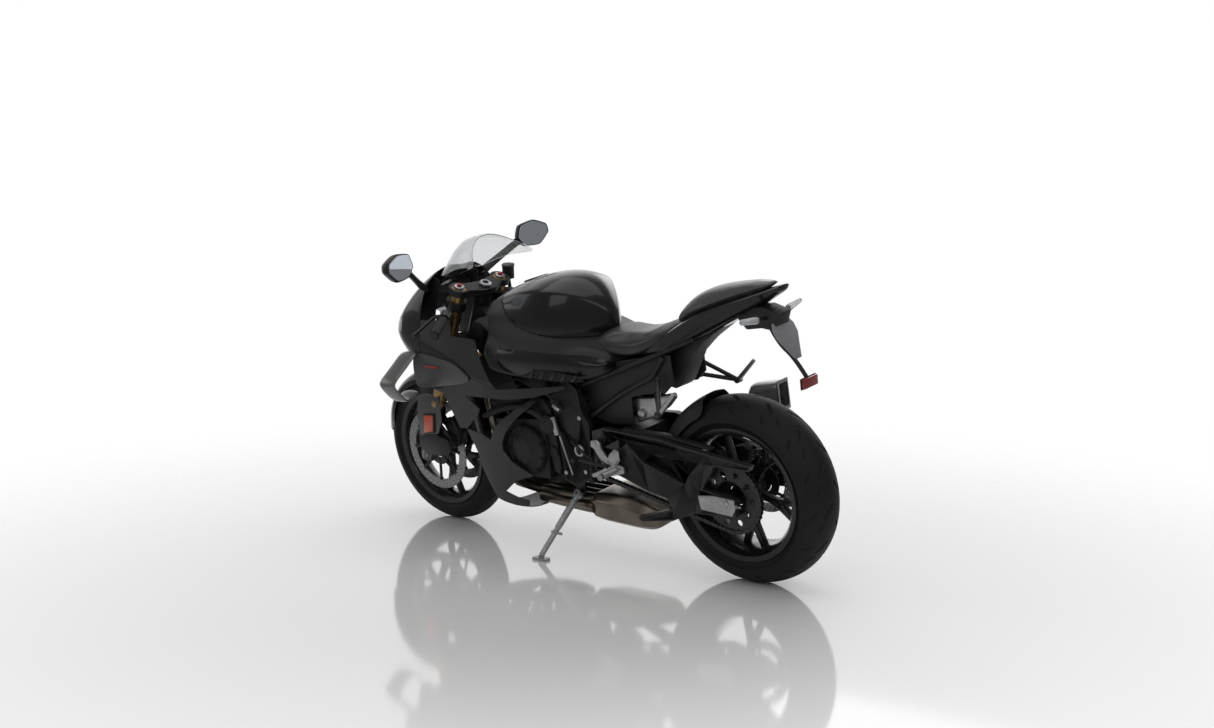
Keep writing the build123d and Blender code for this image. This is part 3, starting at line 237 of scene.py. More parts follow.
ALLOY = Finish("bare_alloy", (0.42, 0.42, 0.43), 0.3, 0.9, 0.0, 0.12, 70.0, 0.00003, 600.0)
STEEL = Finish("ground_steel", (0.30, 0.30, 0.31), 0.3, 0.95, 0.0, 0.1, 90.0, 0.00002, 900.0)
DISC_STEEL = Finish(
    "brake_disc_steel", (0.25, 0.253, 0.257), 0.33, 0.9, 0.0, 0.08, 70.0, 0.00002, 900.0)
CHAIN_STEEL = Finish(
    "oiled_chain_steel", (0.06, 0.06, 0.062), 0.42, 0.8, 0.0, 0.3, 120.0, 0.00005, 600.0)
GOLD = Finish("gold_anodised", (0.30, 0.20, 0.09), 0.28, 0.9, 0.0, 0.08, 60.0, 0.00001)
FORK_GREY = Finish("grey_anodised", (0.12, 0.12, 0.125), 0.36, 0.8, 0.0, 0.1, 60.0, 0.00002)
RUBBER = Finish("moulded_rubber", (0.012, 0.012, 0.012), 0.7, 0.0, 0.0, 0.2, 90.0, 0.00012, 900.0)
TYRE_RUBBER = Finish(
    "tyre_rubber", (0.0075, 0.0075, 0.0078), 0.6, 0.0, 0.0, 0.18, 40.0, 0.00008, 1200.0,
    specular=0.3)
WHEEL_PAINT = Finish("satin_black_wheel", (0.012, 0.012, 0.013), 0.28, 0.3, 0.3, 0.1, 60.0, 0.00001)
SEAT_COVER = Finish(
    "grained_seat_cover", (0.026, 0.026, 0.027), 0.36, 0.0, 0.0, 0.15, 90.0, 0.00015, 700.0)
PAD_COVER = Finish(
    "satin_pad_cover", (0.085, 0.085, 0.087), 0.34, 0.0, 0.2, 0.12, 90.0, 0.0001, 700.0)
TITANIUM = Finish(
    "heat_tinted_steel", (0.215, 0.185, 0.155), 0.30, 0.95, 0.0, 0.25, 14.0, 0.00003, 500.0)
SILENCER_SKIN = Finish("satin_steel_skin", (0.60, 0.60, 0.61), 0.33, 0.9, 0.0, 0.15, 30.0, 0.00003)
STAND_PAINT = Finish("stand_grey", (0.36, 0.36, 0.365), 0.36, 0.5, 0.0, 0.15, 60.0, 0.00004)
# Near-black: real soot in the silencer's outlet, and painted shade on the tank's gill panels, where
# only shade lies behind the louvres.
SOOT_AND_PAINTED_SHADE = Finish("soot_and_painted_shade", (0.006, 0.006, 0.006), 0.8, 0.0, 0.0, 0.2, 60.0, 0.0001)
RED_TRIM = Finish("red_anodised", (0.35, 0.015, 0.012), 0.35, 0.6, 0.0, 0.1, 60.0, 0.00001)
RED_STRIPE = Finish("red_stripe", (0.33, 0.016, 0.014), 0.4, 0.0, 0.3, 0.06, 200.0, 0.0)
# Fork reflectors' lens, with a painted glow, as a reflector gives no light of its own.
ORANGE_LENS = PaintedGlowFinish(
    "orange_red_lens", (0.45, 0.06, 0.025), 0.2, 0.0, 0.6, 0.1, 90.0, 0.0, painted_glow=0.1)
# Rear reflector's lens, with a faint painted glow, as a reflector gives no light of its own.
RED_LENS = PaintedGlowFinish("red_lens", (0.22, 0.01, 0.012), 0.2, 0.0, 0.6, 0.1, 90.0, 0.0, painted_glow=0.05)
SIGNAL_LENS = ClearFinish(
    "clear_signal_lens", (0.75, 0.76, 0.78), 0.15, 0.0, 0.0, 0.04, 90.0, 0.0, clear=0.5)
SCREEN_CLEAR = ClearFinish(
    "clear_screen", (0.80, 0.81, 0.82), 0.06, 0.0, 0.0, 0.02, 30.0, 0.0, scuff=0.02, clear=0.9,
    ior=1.15)
HEADLAMP_CLEAR = ClearFinish(
    "headlamp_lens", (0.6, 0.62, 0.66), 0.08, 0.0, 0.0, 0.04, 30.0, 0.0, scuff=0.02, clear=0.6)
MIRROR_GLASS = Finish(
    "mirror_glass", (0.62, 0.66, 0.72), 0.03, 1.0, 0.0, 0.02, 10.0, 0.0, scuff=0.01)
DISPLAY = Finish("display_glass", (0.02, 0.021, 0.024), 0.08, 0.0, 1.0, 0.1, 30.0, 0.0, scuff=0.02)
WINGLET_GREY = Finish("satin_winglet_grey", (0.150, 0.150, 0.146), 0.33, 0.4, 0.3, 0.08, 500.0, 0.0)
GUARD_GREY = Finish("satin_guard_grey", (0.075, 0.077, 0.08), 0.4, 0.3, 0.2, 0.06, 200.0, 0.0)
FLAP_GREY = Finish("flap_grey", (0.24, 0.243, 0.255), 0.5, 0.0, 0.0, 0.06, 90.0, 0.00004)
RADIATOR_FINS = Finish(
    "radiator_fins", (0.018, 0.018, 0.019), 0.5, 0.6, 0.0, 0.3, 250.0, 0.0002, 1800.0)


# ---------------------------------------------------------------------------- the bench
class Bench:
    """Modelling steps that every sub-assembly shares, in upright millimetres."""

    TUBE_ORDER: ClassVar[int] = 3
    ROUND_OVER = math.radians(25)
    RIM_ANGLE = math.radians(50)

    @staticmethod
    def clear() -> None:
        """Deselects everything."""
        if bpy.context.object and bpy.context.object.mode != "OBJECT":
            bpy.ops.object.mode_set(mode="OBJECT")
        bpy.ops.object.select_all(action="DESELECT")
        bpy.context.view_layer.objects.active = None

    @classmethod
    def pick(cls, obj: bpy.types.Object) -> bpy.types.Object:
        """Makes one object the only selected and the active one."""
        cls.clear()
        obj.select_set(True)
        bpy.context.view_layer.objects.active = obj
        return obj

    @staticmethod
    def newest() -> bpy.types.Object:
        """The primitive that was just added, with its place applied."""
        bpy.ops.object.transform_apply(location=True, rotation=True, scale=True)
        return bpy.context.object

    @classmethod
    def cage(cls, rows: Sequence[Sequence[Point]], closed: bool = False, levels: int = 2,
             creases: Optional[Dict[int, float]] = None) -> bpy.types.Object:
        """Smooth sheet or capped tube through rows of control points.

        Args:
            rows: Rows of points, all of one length.
            closed: Whether each row is a ring.
            levels: Subdivision levels.
            creases: Column number to crease weight.

        Returns:
            The piece, with the subdivision applied.
        """
        if closed:
            rows = [list(row) + [row[0]] for row in rows]
        across, along = len(rows), len(rows[0])
        cls.clear()
        bpy.ops.mesh.primitive_grid_add(
            x_subdivisions=across - 1, y_subdivisions=along - 1, size=1.0)
        obj = cls.newest()
        mesh = obj.data
        where = {}
        for vert in mesh.vertices:
            i = round((vert.co.x + 0.5) * (across - 1))
            j = round((vert.co.y + 0.5) * (along - 1))
            where[vert.index] = (i, j)
            vert.co = rows[i][j]
        if creases:
            layer = mesh.attributes.new("crease_edge", "FLOAT", "EDGE")
            for edge in mesh.edges:
                (_, ja), (_, jb) = where[edge.vertices[0]], where[edge.vertices[1]]
                if ja == jb and ja in creases:
                    layer.data[edge.index].value = creases[ja]
        if closed:
            work = bmesh.new()
            work.from_mesh(mesh)
            bmesh.ops.remove_doubles(work, verts=work.verts, dist=0.001)
            bmesh.ops.holes_fill(work, edges=[e for e in work.edges if e.is_boundary])
            bmesh.ops.recalc_face_normals(work, faces=work.faces)
            work.to_mesh(mesh)
            work.free()
        cls.modify(obj, "SUBSURF", levels=levels, render_levels=levels)
        return obj

    @classmethod
    def modify(cls, obj: bpy.types.Object, kind: str, **settings: object) -> None:
        """Adds a modifier with its settings and applies it."""
        cls.pick(obj)
        made = obj.modifiers.new(kind.lower(), kind)
        for key, value in settings.items():
            setattr(made, key, value)
        bpy.ops.object.modifier_apply(modifier=made.name)

    @classmethod
    def round_off(cls, obj: bpy.types.Object, width: float, angle: float = RIM_ANGLE,
                  segments: int = 2) -> None:
        """Rounds the edges that are sharper than an angle."""
        cls.modify(
            obj, "BEVEL", width=width, segments=segments, limit_method="ANGLE", angle_limit=angle)

    @classmethod
    def thicken(cls, obj: bpy.types.Object, wall: float, hint: Point) -> None:
        """Turns an open sheet to face along hint and gives it a wall on its inner side."""
        total = Vector((0, 0, 0))
        for face in obj.data.polygons:
            total += face.normal * face.area
        if total.dot(Vector(hint)) < 0:
            obj.data.flip_normals()
        cls.modify(obj, "SOLIDIFY", thickness=wall, offset=-1.0, use_even_offset=False)

    @classmethod
    def plate(cls, outline: Sequence[Flat], y_from: float, y_to: float, bevel: float = 1.5,
              segments: int = 2) -> bpy.types.Object:
        """Flat plate with a side outline, its edges rounded.

        Args:
            outline: Corners as (x, z).
            y_from: One side's lateral place.
            y_to: The other side's lateral place.
            bevel: Width of the rounded edges, or 0 for none.
            segments: Steps across a rounded edge.

        Returns:
            The plate.
        """
        cls.clear()
        bpy.ops.mesh.primitive_circle_add(vertices=len(outline), radius=1.0, fill_type="NGON")
        obj = cls.newest()
        for vert, (x, z) in zip(obj.data.vertices, outline):
            vert.co = (x, y_from, z)
        cls.extrude(obj, (0.0, y_to - y_from, 0.0))
        if bevel:
            cls.round_off(obj, bevel, cls.ROUND_OVER, segments)
        return obj

    @classmethod
    def extrude(cls, obj: bpy.types.Object, by: Point) -> None:
        """Extrudes all of a flat shape and turns the result's faces outwards."""
        cls.pick(obj)
        bpy.ops.object.mode_set(mode="EDIT")
        bpy.ops.mesh.select_all(action="SELECT")
        bpy.ops.mesh.extrude_region_move(TRANSFORM_OT_translate={"value": by})
        bpy.ops.mesh.select_all(action="SELECT")
        bpy.ops.mesh.normals_make_consistent(inside=False)
        bpy.ops.object.mode_set(mode="OBJECT")

    @classmethod
    def turned(cls, profile: Sequence[Flat], centre: Point, steps: int = 64,
               axis: Point = (0.0, 1.0, 0.0)) -> bpy.types.Object:
        """Ring or drum spun about an axis from a closed outline.

        Args:
            profile: Corners as (radius, place along the axis).
            centre: Point of the axis where place is 0.
            steps: Steps round the axis.
            axis: Direction of the axis.

        Returns:
            The turned piece.
        """
        cls.clear()
        bpy.ops.mesh.primitive_circle_add(vertices=len(profile), radius=1.0)
        obj = cls.newest()
        for vert, (radius, place) in zip(obj.data.vertices, profile):
            vert.co = (radius, 0.0, place)
        cls.pick(obj)
        bpy.ops.object.mode_set(mode="EDIT")
        bpy.ops.mesh.select_all(action="SELECT")
        bpy.ops.mesh.spin(steps=steps, angle=2 * math.pi, center=(0, 0, 0), axis=(0, 0, 1))
        bpy.ops.mesh.select_all(action="SELECT")
        bpy.ops.mesh.remove_doubles(threshold=0.01)
        bpy.ops.mesh.normals_make_consistent(inside=False)
        bpy.ops.object.mode_set(mode="OBJECT")
        turn = Vector((0, 0, 1)).rotation_difference(Vector(axis)).to_matrix().to_4x4()
        obj.data.transform(Matrix.Translation(centre) @ turn)
        return obj

    @classmethod
    def bar(cls, start: Point, end: Point, radius: float, sides: int = 20, bevel: float = 1.0,
            tip: Optional[float] = None) -> bpy.types.Object:
        """Round bar between two points with rounded ends.

        Args:
            start: First end.
            end: Second end.
            radius: Radius at the first end.
            sides: Steps round the bar.
            bevel: Width of the rounded rims.
            tip: Radius at the second end, if it isn't the same.

        Returns:
            The bar.
        """
        low, high = Vector(start), Vector(end)
        run = high - low
        turn = Vector((0, 0, 1)).rotation_difference(run)
        cls.clear()
        bpy.ops.mesh.primitive_cone_add(
            vertices=sides, radius1=radius, radius2=tip or radius, depth=run.length,
            location=(low + high) / 2, rotation=turn.to_euler())
        obj = cls.newest()
        if bevel:
            cls.round_off(obj, min(bevel, radius * 0.4))
        return obj

    @classmethod
    def pin(cls, x: float, z: float, y_from: float, y_to: float, *shape: float) -> bpy.types.Object:
        """Crosswise bar at x and z, with bar's own radius, sides and bevel."""
        return cls.bar((x, y_from, z), (x, y_to, z), *shape)

    @classmethod
    def tube(cls, points: Sequence[Point], radius: float, facets: int = 4) -> bpy.types.Object:
        """Bent round tube along a smooth line near guide points.

        Args:
            points: Guide points.
            radius: Radius of the tube.
            facets: Bevel resolution round the tube.

        Returns:
            The tube as a mesh.
        """
        cls.clear()
        bpy.ops.curve.primitive_nurbs_path_add()
        line = bpy.context.object.data
        line.splines.clear()
        spline = line.splines.new("NURBS")
        spline.points.add(len(points) - 1)
        for place, point in zip(spline.points, points):
            place.co = (*point, 1.0)
        spline.order_u = min(cls.TUBE_ORDER, len(points))
        spline.use_endpoint_u = True
        spline.resolution_u = 6
        line.dimensions = "3D"
        line.bevel_depth = radius
        line.bevel_resolution = facets
        line.use_fill_caps = True
        bpy.ops.object.convert(target="MESH")
        return cls.newest()

    @classmethod
    def cut(cls, obj: bpy.types.Object, tool: bpy.types.Object,
            how: str = "DIFFERENCE") -> bpy.types.Object:
        """Cuts a piece with another, which is used up."""
        cls.modify(obj, "BOOLEAN", object=tool, operation=how, solver="EXACT")
        bpy.data.objects.remove(tool)
        return obj

    @classmethod
    def within(cls, obj: bpy.types.Object, outline: Sequence[Flat], y_from: float = -400.0,
               y_to: float = 400.0) -> bpy.types.Object:
        """Keeps the part of a piece inside a side outline."""
        return cls.cut(obj, cls.plate(outline, y_from, y_to, 0.0), "INTERSECT")

    @classmethod
    def without(cls, obj: bpy.types.Object, outline: Sequence[Flat], y_from: float = -400.0,
                y_to: float = 400.0) -> bpy.types.Object:
        """Cuts away the part of a piece inside a side outline."""
        return cls.cut(obj, cls.plate(outline, y_from, y_to, 0.0))

    @staticmethod
    def copy(obj: bpy.types.Object) -> bpy.types.Object:
        """A copy with its own mesh."""
        made = obj.copy()
        made.data = obj.data.copy()
        bpy.context.collection.objects.link(made)
        return made

    @classmethod
    def join(cls, parts: Pieces) -> bpy.types.Object:
        """One piece from one or several."""
        parts = parts if isinstance(parts, list) else [parts]
        cls.clear()
        for part in parts:
            part.select_set(True)
        bpy.context.view_layer.objects.active = parts[0]
        if len(parts) > 1:
            bpy.ops.object.join()
        return parts[0]

    @classmethod
    def both(cls, parts: Pieces) -> bpy.types.Object:
        """Left parts joined with their mirror image."""
        left = cls.join(parts)
        right = cls.copy(left)
        right.data.transform(Matrix.Scale(-1, 4, (0, 1, 0)))
        right.data.flip_normals()
        return cls.join([left, right])

    @classmethod
    def pair(cls, name: str, parts: Pieces, *looks: object, **more: object) -> bpy.types.Object:
        """Shows left parts and their mirror image as one piece, with show's own settings."""
        return cls.show(name, cls.both(parts), *looks, **more)

    @classmethod
    def show(cls, name: str, parts: Pieces, finish: Finish, slot: str,
             replaced: Sequence[str] = (), body: Body = Body.CHASSIS,
             smooth: float = 34.0) -> bpy.types.Object:
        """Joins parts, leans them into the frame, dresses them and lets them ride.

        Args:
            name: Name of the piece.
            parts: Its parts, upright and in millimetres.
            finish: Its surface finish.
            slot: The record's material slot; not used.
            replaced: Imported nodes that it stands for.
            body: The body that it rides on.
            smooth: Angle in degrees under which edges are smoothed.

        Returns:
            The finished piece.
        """
        obj = cls.join(parts)
        obj.name = name
        cls.pick(obj)
        obj.data.transform(STANCE)
        bpy.ops.object.shade_smooth_by_angle(angle=math.radians(smooth))
        obj.data.materials.clear()
        obj.data.materials.append(finish.material())
        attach(obj, body.value)
        if replaced:
            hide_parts(*replaced)
        LOG.info("%s: %d faces on %s", obj.name, len(obj.data.polygons), body.value)
        return obj


def dress(finish: Finish, *nodes: str) -> None:
    """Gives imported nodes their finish."""
    for node in nodes:
        obj = frame["nodes"][node]
        obj.data.materials.clear()
        obj.data.materials.append(finish.material())


def ring(x: float, half: Sequence[Flat]) -> List[Point]:
    """Ring of points at x from its left half as (y, z), the middle ones not doubled."""
    left = [(x, y, z) for y, z in half]
    return left + [(x, -y, z) for _, y, z in reversed(left) if y]


def flipped(points: Sequence[Flat]) -> List[Flat]:
    """Points in reverse order with their second number's sign changed."""
    return [(first, -second) for first, second in reversed(points)]


def circle(count: int, radius: float, x: float, z: float) -> List[Flat]:
    """(x, z) of evenly spaced points round a middle."""
    turns = [2 * math.pi * index / count for index in range(count)]
    return [(x + radius * math.cos(turn), z + radius * math.sin(turn)) for turn in turns]


def fork_point(z: float, side: int = 1) -> Vector:
    """Point of a fork leg's axis at height z."""
    run = (z - FRONT_AXLE[2]) / STEER_DIR.z
    return Vector((FRONT_AXLE[0], side * FORK_SPREAD, FRONT_AXLE[2])) + STEER_DIR * run


# ---------------------------------------------------------------------------- bodywork
@dataclass
class Fairing:
    """Nose, side panels and belly, trimmed from one smooth skin.

    stations: x of each section; half: its (y, z) points from the top middle over the shoulder
    and the rim, down the side with its crease to the lower edge.
    """

    wall: float = 4.0
    stations: Sections = (
        (1504, ((0, 838), (50, 835), (74, 828), (86, 816), (82, 800), (66, 790), (40, 785))),
        (1470, ((0, 880), (90, 872), (140, 855), (165, 830), (172, 806), (165, 778), (130, 757))),
        (1422, ((0, 935), (110, 918), (165, 890), (196, 856), (206, 815), (205, 775), (187, 742))),
        (1361, ((0, 995), (110, 975), (168, 948), (199, 905), (217, 815), (220, 765), (208, 722))),
        (1285, ((0, 1062), (105, 1036), (157, 992), (194, 930), (229, 795), (231, 736),
            (224, 672))),
        (1180, ((0, 1062), (105, 1036), (154, 980), (190, 900), (241, 763), (243, 690),
            (228, 455))),
        (1083, ((0, 1060), (100, 1030), (152, 960), (193, 870), (247, 729), (245, 662),
            (228, 455))),
        (1006, ((0, 1050), (100, 1000), (155, 930), (197, 850), (249, 676), (245, 648),
            (230, 500))),
        (900, ((0, 1000), (100, 950), (160, 850), (205, 760), (245, 660), (241, 628), (231, 560))),
        (750, ((0, 900), (100, 850), (150, 780), (190, 722), (227, 656), (225, 632), (214, 600))),
        (600, ((0, 850), (100, 800), (130, 760), (158, 710), (184, 664), (183, 654), (176, 640))),
    )
    side_outline: Sequence[Flat] = (
        (1283, 640), (1283, 790), (1180, 760), (1083, 726), (1040, 701), (1006, 671), (900, 640),
        (611, 664), (611, 655), (640, 645), (747, 617), (863, 603), (1062, 603), (1000, 556),
        (1006, 545), (1086, 473), (1122, 470), (1185, 600), (1240, 606))
    upper_outline: Sequence[Flat] = (
        (1283, 791.2), (1283, 862), (1180, 864), (1138, 858), (1121, 814), (1010, 804), (984, 750),
        (950, 700), (900, 641.2), (1006, 672.2), (1083, 727.2), (1180, 761.2))
    nose_outline: Sequence[Flat] = (
        (1286, 690), (1286, 1030), (1330, 1100), (1600, 1100), (1600, 600), (1400, 600))
    belly_stations: Sections = (
        (1130, ((0, 640), (205, 600), (206, 470), (190, 380), (168, 300), (132, 246), (70, 230),
            (0, 228))),
        (1060, ((0, 640), (222, 600), (213, 450), (204, 350), (192, 268), (180, 204), (118, 182),
            (0, 180))),
        (960, ((0, 640), (226, 600), (215, 450), (206, 350), (198, 262), (190, 184), (124, 160),
            (0, 158))),
        (860, ((0, 640), (222, 600), (212, 450), (202, 350), (192, 262), (184, 184), (118, 160),
            (0, 158))),
        (740, ((0, 640), (208, 600), (198, 450), (188, 350), (172, 280), (158, 204), (104, 186),
            (0, 184))),
    )
    belly_outline: Sequence[Flat] = (
        (1116, 458), (1088, 404), (1072, 356), (1072, 310), (1046, 240), (1020, 190), (960, 150),
        (880, 150), (858, 212), (905, 218), (965, 236), (902, 284), (812, 314), (862, 338),
        (903, 362), (935, 404), (932, 430), (905, 473), (856, 522), (790, 575), (770, 596),
        (800, 596), (918, 517), (960, 482), (990, 434), (1034, 456))

    def skin(self, stations: Sections, creases: Dict[int, float], up: float) -> bpy.types.Object:
        """Left half of a skin through stations, its wall on the side away from (0, 1, up)."""
        rows = [[(x, y, z) for y, z in half] for x, half in stations]
        sheet = Bench.cage(rows, levels=3, creases=creases)
        Bench.thicken(sheet, self.wall, (0, 1, up))
        return sheet

    def build(self) -> None:
        """Makes the panels."""
        skin = self.skin(self.stations, {4: 0.75}, 0.2)
        main = Bench.within(Bench.copy(skin), self.side_outline, 90, 300)
        Bench.pair("side_panels_gloss", main, PAINT, "gloss_black", ["side_panels"])
        upper = Bench.within(Bench.copy(skin), self.upper_outline, 90, 300)
        Bench.pair("side_panels_upper", upper, MATT_PAINT, "gloss_black")
        self.nose(skin)
        bpy.data.objects.remove(skin)
        self.belly()

    def nose(self, skin: bpy.types.Object) -> None:
        """Trims the nose, its lamps and its intake from the skin."""
        nose = Bench.within(Bench.copy(skin), self.nose_outline, 0, 300)
        Bench.without(nose, ((1180, 960), (1180, 1200), (1318, 1200), (1318, 960)), -10, 96)
        Bench.without(nose, ((1380, 740), (1380, 803), (1580, 815), (1580, 740)), -10, 48)
        lamp_zone = ((1400, 812), (1400, 862), (1480, 838), (1540, 820), (1540, 806))
        lamp = Bench.within(Bench.copy(nose), lamp_zone, 66, 300)
        Bench.without(nose, lamp_zone, 66, 300)
        Bench.pair("nose_cowl_skin", nose, PAINT, "gloss_black", ["nose_cowl"])
        Bench.pair("headlamp_lenses", lamp, HEADLAMP_CLEAR, "lamp_glass", ["headlamps"])

    def belly(self) -> None:
        """Makes the belly pan."""
        sheet = self.skin(self.belly_stations, {5: 0.7}, 0)
        Bench.within(sheet, self.belly_outline, -5, 300)
        Bench.pair("belly_pan_skin", sheet, MATT_PAINT, "gloss_black", ["belly_pan"])


@dataclass
class Winglets:
    """Closed-loop blades beside the nose, with a satin root panel and its red stripe.

    loop: middle line of the blade seen from the front, as (y, z, half thickness).
    chord: x along the blade and the share of that thickness there.
    """

    chord: Sequence[Flat] = ((1386, 0.25), (1372, 0.8), (1345, 1), (1312, 0.8), (1300, 0.35))
    loop: Sequence[Tuple[float, float, float]] = (
        (222, 741, 7), (250, 731, 8), (284, 706, 8), (330, 676, 8), (366, 652, 9), (352, 628, 9),
        (326, 594, 9), (304, 571, 9), (270, 584, 8), (240, 596, 7))

    def blade(self) -> bpy.types.Object:
        """The left blade."""
        rows = []
        last = len(self.loop) - 1
        for index, (y, z, half) in enumerate(self.loop):
            before, after = self.loop[max(index - 1, 0)], self.loop[min(index + 1, last)]
            along = Vector((after[0] - before[0], after[1] - before[1])).normalized()
            out = Vector((along.y, -along.x)) * -1
            rows.append([
                (x, y + side * out.x * half * share, z + side * out.y * half * share)
                for side, order in ((1, self.chord), (-1, self.chord[::-1])) for x, share in order])
        return Bench.cage(rows, closed=True, levels=2)

    def root(self) -> bpy.types.Object:
        """The left root panel, raised on the fairing's side."""
        rows = (
            ((1330, 226, 742), (1240, 240, 742), (1140, 250, 730), (1088, 254, 724)),
            ((1330, 236, 700), (1240, 248, 695), (1130, 253, 688), (1040, 255, 690)),
            ((1330, 236, 650), (1240, 246, 648), (1130, 252, 652), (1013, 254, 672)),
            ((1330, 232, 600), (1240, 240, 618), (1130, 247, 636), (1030, 252, 654)),
        )
        sheet = Bench.cage(rows, levels=2)
        Bench.thicken(sheet, 7, (0, 1, 0))
        return sheet

    def build(self) -> None:
        """Makes both winglets."""
        Bench.pair("winglet_blades", self.blade(), WINGLET_GREY, "matt_grey", ["winglets"])
        Bench.pair("winglet_root_panels", self.root(), GUARD_GREY, "matt_grey")
        stripe = Bench.cage((
            ((1268, 246, 703), (1200, 252, 703), (1170, 254, 704)),
            ((1268, 246, 694), (1200, 252, 695), (1170, 254, 696))), levels=1)
        Bench.thicken(stripe, 2, (0, 1, 0))
        Bench.pair("winglet_stripes", stripe, RED_STRIPE, "matt_grey")


@dataclass
class Tank:
    """Fuel tank and the cover round it, cut from one body along the seam.

    sections, upper: x, half width, z of the widest line, z of the top, z of the base and half
    width at the base. dome: shares of the half width and of the height over the widest line.
    seam, below, flank: side outlines that part the tank from the cover and the cover's flank.
    """

    gap: float = 3.0
    dome: ClassVar[Sequence[Flat]] = ((1, 0), (0.975, 0.42), (0.82, 0.76), (0.42, 0.95), (0, 1))
    sections: Rows = (
        (1016, 138, 868, 918, 680, 174), (985, 156, 860, 945, 672, 182),
        (930, 170, 852, 976, 664, 192), (830, 190, 850, 1010, 660, 200),
        (728, 194, 850, 1028, 660, 202), (640, 184, 850, 1020, 662, 196),
        (575, 160, 842, 984, 668, 184), (520, 132, 820, 905, 676, 168),
        (480, 118, 796, 832, 690, 150), (448, 108, 775, 792, 705, 132),)
    upper: Rows = (
        (1014, 134, 868, 918, 780, 126), (985, 152, 860, 945, 780, 150),
        (930, 168, 852, 976, 780, 162), (830, 190, 850, 1010, 780, 186),
        (728, 194, 850, 1028, 780, 190), (650, 178, 850, 1022, 780, 176),
        (605, 134, 848, 1004, 780, 132), (565, 90, 846, 976, 780, 88),
        (530, 48, 842, 934, 780, 46), (506, 16, 836, 880, 780, 14))
    seam: Sequence[Flat] = (
        (968, 1100), (956, 985), (946, 966), (912, 945), (886, 926), (868, 900), (850, 884),
        (800, 862), (751, 849), (700, 838), (640, 829), (575, 820), (511, 814), (482, 828),
        (470, 850), (440, 1100))
    below: Sequence[Flat] = (
        (1100, 850), (1016, 846), (1008, 800), (998, 760), (978, 706), (954, 668), (930, 664),
        (740, 672), (600, 676), (546, 682), (491, 694), (440, 722), (400, 600), (1100, 600))

    flank: Sequence[Flat] = (
        (918, 779), (921, 726), (896, 702), (867, 692), (766, 690), (677, 690), (596, 694),
        (518, 698), (470, 714), (441, 732), (474, 758), (545, 772), (668, 776), (809, 779))

    @staticmethod
    def body(sections: Rows) -> bpy.types.Object:
        """Closed body through sections like the tank's own."""
        rows = []
        for x, half, z_side, z_top, z_low, half_low in sections:
            row = ring(x, [(half * out, z_side + (z_top - z_side) * up) for out, up in Tank.dome])
            side = (
                (half - 5, z_side - 0.24 * (z_side - z_low)),
                (half_low + 5, z_side - 0.52 * (z_side - z_low)),
                (half_low + 3, z_side - 0.82 * (z_side - z_low)), (half_low - 10, z_low))
            rows.append(row + [(x, -y, z) for y, z in side] + [(x, y, z) for y, z in side[::-1]])
        return Bench.cage(rows, closed=True, levels=3, creases={2: 0.5, 6: 0.5, 10: 0.35, 15: 0.35})

    def build(self) -> None:
        """Makes the tank, its cover, the louvred trims and the filler cap."""
        tank = Bench.within(self.body(self.upper), self.seam)
        grown = [(x + (self.gap if z > 900 else 0), z - self.gap) for x, z in self.seam]
        cover = Bench.without(self.body(self.sections), grown)
        Bench.without(cover, self.below)
        Bench.round_off(cover, 1.6)
        Bench.round_off(tank, 1.2)
        Bench.show("tank_upper", tank, PAINT, "gloss_black", ["fuel_tank"])
        Bench.show("tank_lower", cover, MATT_PAINT, "matt_black", ["tank_cover"])
        grown = [
            (x, half + 1.6, z_side, z_top, z_low, half_low + 1.6)
            for x, half, z_side, z_top, z_low, half_low in self.sections]
        flank = Bench.within(self.body(grown), self.flank)
        Bench.round_off(flank, 1.6)
        Bench.show("tank_flank", flank, PAINT, "matt_black")
        self.trims()
        self.cap()

    def trims(self) -> None:
        """Gill panel of the flank, near-black as painted shade behind its row of slanted slots."""
        outline = (
            (792, 692), (729, 716), (690, 720), (645, 718), (552, 705), (518, 688), (540, 684),
            (680, 682))
        rows = (((800, 206, 726), (700, 207, 726), (600, 202, 724), (510, 190, 716)),
                ((800, 207, 704), (700, 208, 704), (600, 203, 702), (510, 190, 698)),
                ((800, 206, 676), (700, 207, 676), (600, 202, 676), (510, 189, 676)))
        sheet = Bench.cage(rows, levels=3)
        Bench.thicken(sheet, 4, (0, 1, 0))
        Bench.within(sheet, outline, 90, 300)
        # Near-black gill panel: painted shade in the recess behind the louvres.
        Bench.pair("tank_gill_panels", sheet, SOOT_AND_PAINTED_SHADE, "matt_black")
        fins, spacing = [], 48
        for index in range(5):
            x = 760 - index * spacing
            fins.append(
                Bench.plate(((x, 687), (x - 22, 717 - index * 1.5), (x - 34, 716 - index * 1.8),
                (x - 14, 686)), 202.5 - index * 1.9, 211 - index * 2, 1.5))
        Bench.pair("tank_louvres", fins, SATIN_BLACK, "matt_black")

    def cap(self) -> None:
        """Filler cap with its ring."""
        axis = Vector((0.27, 0, 0.96)).normalized()
        centre = Vector((868, 0, 988))
        profile = (
            (0.01, 0), (0.01, 7), (30, 7), (33, 5), (36, 5), (38, 8), (44, 8), (47, 4), (48, -14),
            (0.01, -14))
        Bench.show("filler_cap", Bench.turned(profile, centre, 48, axis), SATIN_BLACK, "matt_black")


